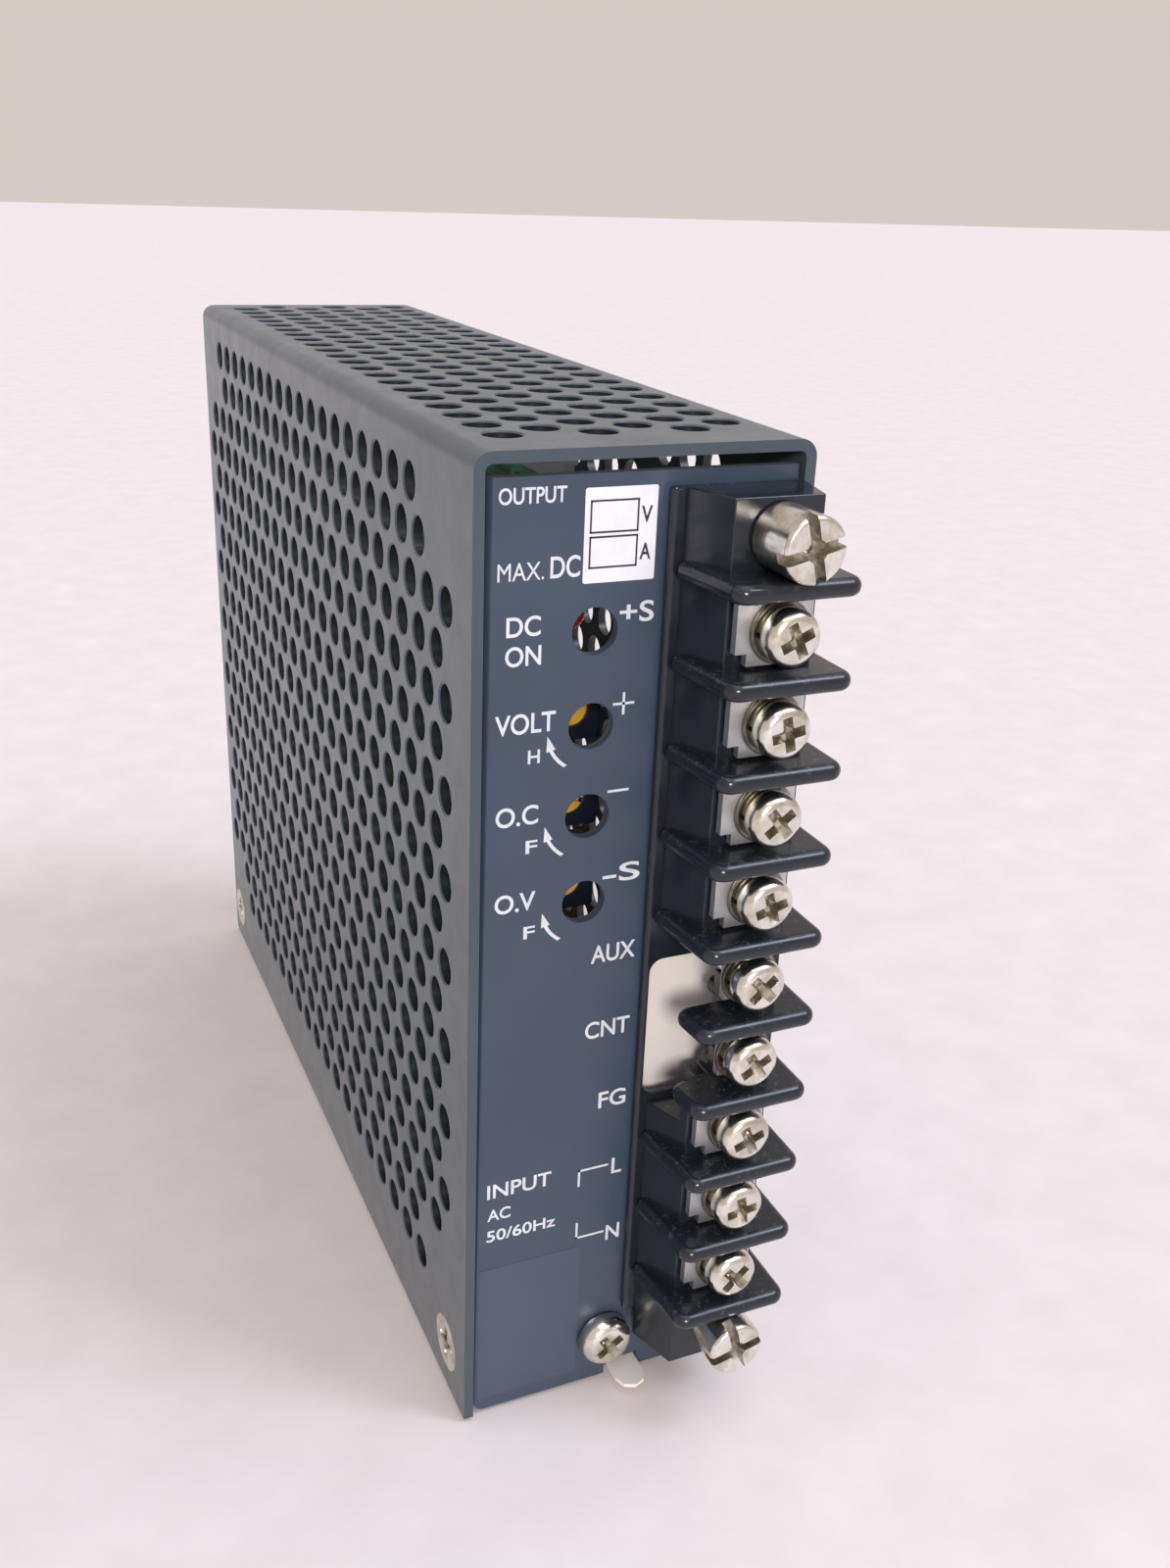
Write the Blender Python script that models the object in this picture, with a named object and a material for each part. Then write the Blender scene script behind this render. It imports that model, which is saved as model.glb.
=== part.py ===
# Enclosed switching power supply: perforated cover, front panel, nine-way screw terminal block, inner boards.
# Metres, +Z up. Sizes are set out with X across the front from left to right, Y back from the front rim and
# Z up from the base. An empty then moves the whole assembly so that the middle of the base is the origin.

import math

import bmesh
import bpy
from mathutils import Matrix

MM = 0.001

# Sheet metal case
CASE_WIDTH = 31.0 * MM
CASE_HEIGHT = 98.5 * MM
CASE_DEPTH = 112.5 * MM
SHEET = 1.0 * MM
COVER_BEND_RADIUS = 1.6 * MM
PANEL_RECESS = 0.6 * MM
PANEL_TOP_SLIT = 1.2 * MM
FLANGE_HEIGHT = 14.0 * MM
CLEARANCE = 0.3 * MM
BEND_STEPS = 4

# Cover openings: a plain grid with the open share of 3.5 mm holes on a 5 mm staggered pitch
OPENING_COLUMNS = 12
OPENING_ROWS = 10
OPENING_TOP_ROWS = 3
OPENING_SIDES = 6
OPENING_SHARE = 0.44
OPENING_FRONT = 4.9 * MM
OPENING_BACK = 1.7 * MM
OPENING_TOP = 3.8 * MM
OPENING_BOTTOM = 9.0 * MM
OPENING_TOP_MARGIN = 2.9 * MM

# Case screws
SCREW_SHANK = 3.0 * MM
SHANK_CLEARANCE = 0.3 * MM
SIDE_HEAD = 6.0 * MM
SIDE_HEAD_TAPER = 1.6 * MM
SIDE_SCREW_LENGTH = 4.6 * MM
SIDE_SCREW_FRONT = 5.8 * MM
SIDE_SCREW_BACK = 3.4 * MM
SIDE_SCREW_RISE = 5.4 * MM
PANEL_HEAD = 5.6 * MM
PANEL_HEAD_HEIGHT = 2.0 * MM
PANEL_SCREW_TO_BLOCK = 3.2 * MM
PANEL_SCREW_RISE = 6.0 * MM
PANEL_SCREW_LENGTH = 5.0 * MM
CROSS_WIDTH = 0.9 * MM
CROSS_DEPTH = 1.0 * MM
CROSS_SHARE = 0.62
HEAD_PROFILE = ((0.0, 0.94), (0.3, 1.0), (0.7, 0.86), (1.0, 0.5))
ROUND_SIDES = 16
SHANK_SIDES = 12

# Indicator and trimmers behind the panel
HOLE_DIAMETER = 4.2 * MM
HOLE_LEFT = 11.2 * MM
HOLE_TOP = 15.5 * MM
HOLE_PITCH = 8.5 * MM
TRIMMER_COUNT = 3
TRIMMER_SIDE = 6.4 * MM
TRIMMER_DEPTH = 4.0 * MM
TRIMMER_STANDOFF = 3.8 * MM
ROTOR_DIAMETER = 3.2 * MM
ROTOR_LENGTH = 3.4 * MM
ROTOR_SEAT = 3.2 * MM
ROTOR_RUNNING_GAP = 0.08 * MM
ROTOR_END_GAP = 0.1 * MM
ROTOR_SLOT = 0.5 * MM
ROTOR_SIDES = 24
LED_DIAMETER = 3.0 * MM
LED_FLANGE = 3.8 * MM
LED_FLANGE_LENGTH = 1.0 * MM
LED_RECESS = 4.4 * MM
LED_HOLDER_SIDE = 4.0 * MM
LED_HOLDER_DEPTH = 1.6 * MM

# Terminal block
TERMINAL_COUNT = 9
TERMINAL_PITCH = 8.17 * MM
FIRST_TERMINAL_TOP = 14.4 * MM
BARRIER_TO_RIGHT = 0.4 * MM
BARRIER_WIDTH = 12.0 * MM
BARRIER_REACH = 10.1 * MM
BARRIER_THICKNESS = 1.7 * MM
BARRIER_CORNER = 1.3 * MM
BLOCK_TOP = 3.4 * MM
BLOCK_BOTTOM = 92.6 * MM
DECK_REACH = 5.7 * MM
DECK_INSET_LEFT = 1.6 * MM
DECK_INSET_RIGHT = 2.0 * MM
TERMINAL_SCREW_INSET = 6.0 * MM
BARE_TERMINALS = (5, 6)
BASE_MARGIN = 1.35 * MM
BASE_THICKNESS = 0.8 * MM
BASE_BOTTOM = 9.2 * MM
FACE_MARGIN = 0.2 * MM
RELIEF_WALL = 0.5 * MM
RELIEF_REACH = 4.8 * MM
RELIEF_DROP = 3.3 * MM
BRIDGE_OFFSET = 0.9 * MM
BRIDGE_THICKNESS = 3.3 * MM
BAY_OFFSET = 2.0 * MM

# Contacts, washers and screws of the terminals
PLATE_THICKNESS = 0.8 * MM
PLATE_WIDTH = 7.2 * MM
PLATE_HEIGHT = 5.8 * MM
PLATE_NOTCH = 1.1 * MM
NUT_SIDE = 4.6 * MM
TAIL_THICKNESS = 0.7 * MM
TAIL_WIDTH = 3.0 * MM
TAIL_OFFSET = 2.8 * MM
TAIL_SLOT_GAP = 0.35 * MM
WASHER_DIAMETER = 5.6 * MM
WASHER_THICKNESS = 1.1 * MM
TERMINAL_HEAD = 5.0 * MM
TERMINAL_HEAD_HEIGHT = 1.9 * MM
TERMINAL_SHANK_LENGTH = 5.4 * MM
HEAD_GAP = 0.05 * MM
POST_DIAMETER = 5.7 * MM
POST_LENGTH = 5.4 * MM
POST_OFFSET = 3.7 * MM
POST_STUD_LENGTH = 3.2 * MM

# Opening in the panel behind the two bare terminals, with its insulating sheet
WINDOW_MARGIN = 0.5 * MM
WINDOW_TOP = 48.3 * MM
WINDOW_HEIGHT = 15.8 * MM
WINDOW_CORNER = 1.3 * MM
BASE_WINDOW_MARGIN = 0.65 * MM
BASE_WINDOW_TOP = 47.9 * MM
BASE_WINDOW_HEIGHT = 14.9 * MM
SHEET_RIGHT = 1.3 * MM
SHEET_OVERLAP = 0.6 * MM
INSULATOR = 0.4 * MM
TONGUE_PAST_SCREW = 0.8 * MM
TONGUE_WIDTH = 3.2 * MM
TONGUE_REACH = 3.4 * MM
TONGUE_NOTCH_GAP = 0.3 * MM

# Boards and the parts on them
BOARD = 1.6 * MM
BOARD_RISE = 5.0 * MM
BOARD_TOP_GAP = 3.0 * MM
BOARD_BACK_GAP = 4.5 * MM
SPACER_DIAMETER = 5.0 * MM
SPACER_RISE = 9.0 * MM
SPACER_BACKS = (20.0 * MM, 58.0 * MM, 96.0 * MM)
TAIL_END = 6.0 * MM
TERMINAL_BOARD_RISE = 14.0 * MM
TERMINAL_BOARD_TOP = 88.0 * MM
TERMINAL_BOARD_STEP = 50.0 * MM
BULK_DIAMETER = 18.0 * MM
BULK_LENGTH = 20.0 * MM
BULK_BACK = 88.0 * MM
BULK_RISE = 66.0 * MM
OUTPUT_DIAMETER = 10.0 * MM
OUTPUT_LENGTH = 20.0 * MM
OUTPUT_BACK = 22.0 * MM
OUTPUT_DROPS = (62.0 * MM, 74.0 * MM)
CORE_LENGTH = 26.0 * MM
CORE_THICKNESS = 10.0 * MM
CORE_LEG = 8.0 * MM
CORE_WINDOW = 5.0 * MM
CORE_YOKE = 4.0 * MM
CORE_BACK = 60.0 * MM
CORE_RISE = 34.0 * MM
WINDING_BUILD = 4.4 * MM
CHOKE_SIZE = (17.0 * MM, 18.0 * MM, 15.0 * MM)
CHOKE_BACK = 92.0 * MM
CHOKE_RISE = 34.0 * MM
FILM_SIZE = (14.0 * MM, 18.0 * MM, 8.0 * MM)
FILM_BACK = 92.0 * MM
FILM_RISE = 48.0 * MM
FUSE_DIAMETER = 5.2 * MM
FUSE_LENGTH = 20.0 * MM
FUSE_CAP = 5.0 * MM
FUSE_GLASS_STEP = 0.4 * MM
FUSE_BACK = 92.0 * MM
FUSE_RISE = 20.0 * MM
SINK_THICKNESS = 3.0 * MM
SINK_HEIGHT = 44.0 * MM
SINK_REACH = 20.0 * MM
SINK_BACK = 46.0 * MM
SINK_RISE = 70.0 * MM
POWER_CASE = (15.0 * MM, 4.5 * MM, 10.0 * MM)
POWER_CASE_RISE = 11.0 * MM

# Places worked out from the sizes above
LEFT = -CASE_WIDTH / 2
RIGHT = CASE_WIDTH / 2
CHASSIS_HALF = CASE_WIDTH / 2 - SHEET - CLEARANCE
PANEL_FRONT = PANEL_RECESS
PANEL_BACK = PANEL_RECESS + SHEET
FLANGE_FRONT = PANEL_BACK + CLEARANCE
REAR_FACE = CASE_DEPTH - PANEL_RECESS
BLOCK_BACK = PANEL_FRONT - CLEARANCE
DECK_FACE = -DECK_REACH
PLATE_BACK = DECK_FACE - CLEARANCE
PLATE_FRONT = PLATE_BACK - PLATE_THICKNESS
WASHER_BACK = PLATE_FRONT - HEAD_GAP
WASHER_FRONT = WASHER_BACK - WASHER_THICKNESS
HEAD_BACK = WASHER_FRONT - HEAD_GAP
BLOCK_RIGHT = RIGHT - BARRIER_TO_RIGHT
BLOCK_LEFT = BLOCK_RIGHT - BARRIER_WIDTH
TERMINAL_X = BLOCK_LEFT + TERMINAL_SCREW_INSET
PANEL_SCREW_X = BLOCK_LEFT - PANEL_SCREW_TO_BLOCK
TONGUE_X = PANEL_SCREW_X + TONGUE_PAST_SCREW
BASE_FACE = BLOCK_BACK - BASE_THICKNESS
BAY_RIGHT = TERMINAL_X + BAY_OFFSET
WINDOW_X = BLOCK_LEFT - WINDOW_MARGIN
BASE_WINDOW_X = BLOCK_LEFT - BASE_WINDOW_MARGIN
TAIL_X = TERMINAL_X + TAIL_OFFSET
HOLE_X = LEFT + HOLE_LEFT
PART_SEAT = HOLE_X - TRIMMER_SIDE / 2
BOARD_RIGHT = PART_SEAT - CLEARANCE
BOARD_LEFT = BOARD_RIGHT - BOARD
BOARD_FRONT = FLANGE_FRONT + SHEET + CLEARANCE
SHANK_HOLE = SCREW_SHANK + 2 * SHANK_CLEARANCE
WASHER_BORE = SCREW_SHANK + 2 * SHANK_CLEARANCE
TRIMMER_FRONT = PANEL_BACK + TRIMMER_STANDOFF
TRIMMER_BACK = TRIMMER_FRONT + TRIMMER_DEPTH


def terminal_z(number):
    return CASE_HEIGHT - FIRST_TERMINAL_TOP - TERMINAL_PITCH * (number - 1)


def barrier_z(number):
    return terminal_z(number) + TERMINAL_PITCH / 2


def hole_z(number):
    return CASE_HEIGHT - HOLE_TOP - HOLE_PITCH * number


def clear_scene():
    for item in list(bpy.data.objects):
        bpy.data.objects.remove(item, do_unlink=True)


# Building helpers

def add_object(name, mesh_builder, origin=(0.0, 0.0, 0.0)):
    mesh = bpy.data.meshes.new(name)
    body = bmesh.new()
    mesh_builder(body)
    bmesh.ops.translate(body, verts=body.verts, vec=[-value for value in origin])
    bmesh.ops.recalc_face_normals(body, faces=body.faces)
    body.to_mesh(mesh)
    body.free()
    item = bpy.data.objects.new(name, mesh)
    item.location = origin
    bpy.context.scene.collection.objects.link(item)
    return item


def finish(item, colour, roughness, metallic=0.0):
    material = bpy.data.materials.new(item.name + "_finish")
    material.use_nodes = True
    shader = material.node_tree.nodes["Principled BSDF"]
    shader.inputs["Base Color"].default_value = (*colour, 1.0)
    shader.inputs["Roughness"].default_value = roughness
    shader.inputs["Metallic"].default_value = metallic
    item.data.materials.append(material)
    return item


def box(body, low, high):
    size = [high[axis] - low[axis] for axis in range(3)]
    middle = [(high[axis] + low[axis]) / 2 for axis in range(3)]
    place = Matrix.Translation(middle) @ Matrix.Diagonal((*size, 1.0))
    return bmesh.ops.create_cube(body, size=1.0, matrix=place)["verts"]


def tube_turn(axis):
    turns = {
        "X": Matrix.Rotation(math.pi / 2, 4, "Y"),
        "Y": Matrix.Rotation(-math.pi / 2, 4, "X"),
        "Z": Matrix.Identity(4),
    }
    return turns[axis]


def rod(body, middle, axis, start, end, diameter, sides, end_diameter=None):
    # A round bar along one axis, tapering when an end diameter is given.
    index = "XYZ".index(axis)
    place = list(middle)
    place[index] = (start + end) / 2
    last = diameter if end_diameter is None else end_diameter
    bmesh.ops.create_cone(
        body,
        cap_ends=True,
        segments=sides,
        radius1=diameter / 2,
        radius2=last / 2,
        depth=end - start,
        matrix=Matrix.Translation(place) @ tube_turn(axis),
    )


def lathe(body, middle, profile, sides):
    # Turn (distance along Y, radius) points about a Y axis; the first and last radius are zero.
    rings = []
    for distance, radius in profile:
        if radius == 0.0:
            rings.append([body.verts.new((middle[0], distance, middle[2]))])
            continue
        ring = []
        for step in range(sides):
            angle = 2 * math.pi * step / sides
            across = middle[0] + radius * math.cos(angle)
            ring.append(body.verts.new((across, distance, middle[2] + radius * math.sin(angle))))
        rings.append(ring)
    for first, second in zip(rings, rings[1:]):
        for step in range(sides):
            following = (step + 1) % sides
            corners = [first[step % len(first)], second[step % len(second)]]
            if len(second) > 1:
                corners.append(second[following])
            if len(first) > 1:
                corners.append(first[following])
            body.faces.new(corners)


def prism(body, outline, axis, low, high):
    # Extrude a closed outline, given in the two other axes in X, Y, Z order.
    index = "XYZ".index(axis)
    ends = []
    for level in (low, high):
        ring = []
        for first, second in outline:
            point = [first, second]
            point.insert(index, level)
            ring.append(body.verts.new(point))
        ends.append(ring)
    count = len(outline)
    body.faces.new(ends[0])
    body.faces.new(list(reversed(ends[1])))
    for step in range(count):
        following = (step + 1) % count
        body.faces.new((ends[0][step], ends[0][following], ends[1][following], ends[1][step]))


def arc(centre, radius, start, end, steps):
    points = []
    for step in range(steps + 1):
        angle = math.radians(start + (end - start) * step / steps)
        points.append((centre[0] + radius * math.cos(angle), centre[1] + radius * math.sin(angle)))
    return points


def rounded_rectangle(low, high, radius, steps):
    points = arc((high[0] - radius, high[1] - radius), radius, 0, 90, steps)
    points += arc((low[0] + radius, high[1] - radius), radius, 90, 180, steps)
    points += arc((low[0] + radius, low[1] + radius), radius, 180, 270, steps)
    points += arc((high[0] - radius, low[1] + radius), radius, 270, 360, steps)
    return points


def cross_outline(middle, span, width):
    a = span / 2
    b = width / 2
    arm = ((b, a), (b, b), (a, b))
    outline = []
    for _ in range(4):
        for first, second in arm:
            outline.append((middle[0] + first, middle[1] + second))
        arm = [(second, -first) for first, second in arm]
    return outline


def combine(item, name, mesh_builder, operation):
    tool = add_object(name, mesh_builder)
    tool.hide_render = True
    tool.display_type = "WIRE"
    change = item.modifiers.new(name, "BOOLEAN")
    change.operation = operation
    change.solver = "EXACT"
    change.object = tool


def cut(item, name, mesh_builder):
    combine(item, name, mesh_builder, "DIFFERENCE")


def join(item, name, mesh_builder):
    combine(item, name, mesh_builder, "UNION")


# Case

def side_screw_places():
    rears = CASE_DEPTH - SIDE_SCREW_BACK
    return [(side, distance) for side in (-1, 1) for distance in (SIDE_SCREW_FRONT, rears)]


def opening_diameter(width, height):
    # Diameter over the corners of the opening that takes its share of one cell.
    turn = 2 * math.pi / OPENING_SIDES
    return 2 * math.sqrt(OPENING_SHARE * width * height * 2 / (OPENING_SIDES * math.sin(turn)))


def cover_openings(body):
    column = (CASE_DEPTH - OPENING_FRONT - OPENING_BACK) / OPENING_COLUMNS
    row = (CASE_HEIGHT - OPENING_TOP - OPENING_BOTTOM) / OPENING_ROWS
    side = opening_diameter(column, row)
    top_row = (CASE_WIDTH - 2 * OPENING_TOP_MARGIN) / OPENING_TOP_ROWS
    top = opening_diameter(column, top_row)
    for number in range(OPENING_COLUMNS):
        distance = OPENING_FRONT + column * (number + 0.5)
        for level in range(OPENING_ROWS):
            middle = (0.0, distance, OPENING_BOTTOM + row * (level + 0.5))
            rod(body, middle, "X", LEFT - SHEET, RIGHT + SHEET, side, OPENING_SIDES)
        for place in range(OPENING_TOP_ROWS):
            middle = (LEFT + OPENING_TOP_MARGIN + top_row * (place + 0.5), distance, 0.0)
            rod(body, middle, "Z", CASE_HEIGHT - 2 * SHEET, CASE_HEIGHT + SHEET, top, OPENING_SIDES)


def make_cover():
    radius = COVER_BEND_RADIUS
    inner = radius - SHEET
    top = CASE_HEIGHT
    bottom = CLEARANCE
    outline = [(LEFT, bottom)]
    outline += arc((LEFT + radius, top - radius), radius, 180, 90, BEND_STEPS)
    outline += arc((RIGHT - radius, top - radius), radius, 90, 0, BEND_STEPS)
    outline += [(RIGHT, bottom), (RIGHT - SHEET, bottom)]
    outline += arc((RIGHT - radius, top - radius), inner, 0, 90, BEND_STEPS)
    outline += arc((LEFT + radius, top - radius), inner, 90, 180, BEND_STEPS)
    outline += [(LEFT + SHEET, bottom)]
    cover = add_object("cover", lambda body: prism(body, outline, "Y", 0.0, CASE_DEPTH))

    def countersinks(body):
        wide = SIDE_HEAD + 2 * CLEARANCE
        narrow = wide - 2 * SIDE_HEAD_TAPER
        for side, distance in side_screw_places():
            middle = (0.0, distance, SIDE_SCREW_RISE)
            face = side * CASE_WIDTH / 2
            over = CLEARANCE
            inside = face - side * (SHEET + over)
            if side < 0:
                rod(body, middle, "X", face, inside, wide, ROUND_SIDES, narrow)
            else:
                rod(body, middle, "X", inside, face, narrow, ROUND_SIDES, wide)

    cut(cover, "cover_countersinks", countersinks)
    cut(cover, "cover_grid", cover_openings)
    return finish(cover, (0.105, 0.12, 0.14), 0.5, 0.2)


def make_side_screws():
    names = ("left_front", "left_rear", "right_front", "right_rear")
    for name, (side, distance) in zip(names, side_screw_places()):
        middle = (0.0, distance, SIDE_SCREW_RISE)
        face = side * CASE_WIDTH / 2

        def shape(body):
            tip = face - side * SIDE_SCREW_LENGTH
            shank = SCREW_SHANK
            low = min(face, tip)
            high = max(face, tip)
            rod(body, middle, "X", low, high, shank, SHANK_SIDES)

        def head(body):
            under = face - side * SHEET
            small = SIDE_HEAD - 2 * SIDE_HEAD_TAPER
            if side < 0:
                rod(body, middle, "X", face, under, SIDE_HEAD, ROUND_SIDES, small)
            else:
                rod(body, middle, "X", under, face, small, ROUND_SIDES, SIDE_HEAD)

        def cross(body):
            outline = cross_outline((distance, SIDE_SCREW_RISE), SIDE_HEAD * CROSS_SHARE, CROSS_WIDTH)
            low = face - CROSS_DEPTH / 2
            prism(body, outline, "X", low, low + CROSS_DEPTH)

        screw = add_object("cover_screw_" + name, shape)
        join(screw, "head_of_" + screw.name, head)
        cut(screw, "cross_of_" + screw.name, cross)
        finish(screw, (0.62, 0.6, 0.55), 0.3, 1.0)


def make_chassis():
    top = CASE_HEIGHT - SHEET - CLEARANCE

    def outer(body):
        box(body, (-CHASSIS_HALF, FLANGE_FRONT, 0.0), (CHASSIS_HALF, REAR_FACE, top))

    def hollow(body):
        inside = CHASSIS_HALF - SHEET
        box(body, (-inside, FLANGE_FRONT + SHEET, SHEET), (inside, REAR_FACE - SHEET, 2 * top))

    def above_flanges(body):
        low = (-CASE_WIDTH, -CASE_DEPTH, FLANGE_HEIGHT)
        box(body, low, (CASE_WIDTH, REAR_FACE - SHEET, 2 * top))

    def screw_holes(body):
        for side, distance in side_screw_places():
            middle = (0.0, distance, SIDE_SCREW_RISE)
            inside = side * (CHASSIS_HALF - 2 * SHEET)
            outside = side * (CHASSIS_HALF + SHEET)
            low = min(inside, outside)
            rod(body, middle, "X", low, max(inside, outside), SHANK_HOLE, SHANK_SIDES)
        middle = (PANEL_SCREW_X, 0.0, PANEL_SCREW_RISE)
        rod(body, middle, "Y", FLANGE_FRONT - SHEET, FLANGE_FRONT + 2 * SHEET, SHANK_HOLE, SHANK_SIDES)

    def behind_block(body):
        low = (BLOCK_LEFT, -SHEET, SHEET)
        box(body, low, (CHASSIS_HALF - SHEET, FLANGE_FRONT + 2 * SHEET, 2 * top))

    chassis = add_object("chassis", outer)
    cut(chassis, "chassis_hollow", hollow)
    cut(chassis, "chassis_above_flanges", above_flanges)
    cut(chassis, "chassis_behind_block", behind_block)
    cut(chassis, "chassis_screw_holes", screw_holes)
    cut(chassis, "chassis_tongue_slot", tongue_slot)
    return finish(chassis, (0.105, 0.12, 0.14), 0.5, 0.2)


def tongue_slot(body):
    # The slot that the base insulator's tongue leaves by, through the front flange and the panel's foot.
    gap = TONGUE_NOTCH_GAP
    left = TONGUE_X
    top = SHEET + CLEARANCE + INSULATOR + gap
    low = (left - gap, -SHEET, SHEET)
    box(body, low, (left + TONGUE_WIDTH + gap, FLANGE_FRONT + 2 * SHEET, top))


def make_front_panel():
    half = CHASSIS_HALF
    top = CASE_HEIGHT - SHEET - PANEL_TOP_SLIT

    def plate(body):
        box(body, (-half, PANEL_FRONT, CLEARANCE), (half, PANEL_BACK, top))

    def round_holes(body):
        for number in range(TRIMMER_COUNT + 1):
            middle = (HOLE_X, 0.0, hole_z(number))
            rod(body, middle, "Y", PANEL_FRONT - SHEET, PANEL_BACK + SHEET, HOLE_DIAMETER, ROTOR_SIDES)
        middle = (PANEL_SCREW_X, 0.0, PANEL_SCREW_RISE)
        rod(body, middle, "Y", PANEL_FRONT - SHEET, PANEL_BACK + SHEET, SHANK_HOLE, SHANK_SIDES)

    def window(body):
        low = (WINDOW_X, CASE_HEIGHT - WINDOW_TOP - WINDOW_HEIGHT)
        high = (BAY_RIGHT, low[1] + WINDOW_HEIGHT)
        outline = rounded_rectangle(low, high, WINDOW_CORNER, BEND_STEPS)
        prism(body, outline, "Y", PANEL_FRONT - SHEET, PANEL_BACK + SHEET)

    def tail_slots(body):
        side = TAIL_THICKNESS / 2 + CLEARANCE
        rise = TAIL_WIDTH / 2 + CLEARANCE
        first_run = (1, BARE_TERMINALS[0] - 1)
        second_run = (BARE_TERMINALS[-1] + 1, TERMINAL_COUNT)
        for first, last in (first_run, second_run):
            low = (TAIL_X - side, PANEL_FRONT - SHEET, terminal_z(last) - rise)
            box(body, low, (TAIL_X + side, PANEL_BACK + SHEET, terminal_z(first) + rise))

    def foot_notch(body):
        gap = TONGUE_NOTCH_GAP
        left = TONGUE_X
        rise = SHEET + CLEARANCE + INSULATOR + gap
        low = (left - gap, PANEL_FRONT - SHEET, -SHEET)
        box(body, low, (left + TONGUE_WIDTH + gap, PANEL_BACK + SHEET, rise))

    panel = add_object("front_panel", plate)
    cut(panel, "panel_round_holes", round_holes)
    cut(panel, "panel_window", window)
    cut(panel, "panel_tail_slots", tail_slots)
    cut(panel, "panel_foot_notch", foot_notch)
    return finish(panel, (0.085, 0.1, 0.13), 0.5, 0.2)


def make_panel_screw():
    middle = (PANEL_SCREW_X, 0.0, PANEL_SCREW_RISE)
    seat = PANEL_FRONT - CLEARANCE
    screw = add_object("panel_screw", lambda body: rod(
        body, middle, "Y", seat - PANEL_HEAD_HEIGHT / 2, seat + PANEL_SCREW_LENGTH, SCREW_SHANK, SHANK_SIDES))
    join(screw, "panel_screw_head", lambda body: pan_head(body, middle, seat, PANEL_HEAD, PANEL_HEAD_HEIGHT))
    cut(screw, "panel_screw_cross", lambda body: front_cross(
        body, middle, seat - PANEL_HEAD_HEIGHT, PANEL_HEAD))
    return finish(screw, (0.72, 0.7, 0.64), 0.22, 1.0)


def pan_head(body, middle, seat, diameter, height):
    # A domed head that stands forward of its seat.
    profile = [(seat, 0.0)]
    for rise, width in HEAD_PROFILE:
        profile.append((seat - height * rise, width * diameter / 2))
    profile.append((seat - height, 0.0))
    lathe(body, middle, profile, ROUND_SIDES)


def front_cross(body, middle, face, diameter):
    outline = cross_outline((middle[0], middle[2]), diameter * CROSS_SHARE, CROSS_WIDTH)
    prism(body, outline, "Y", face - CROSS_DEPTH, face + CROSS_DEPTH)


# Terminal block

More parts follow.
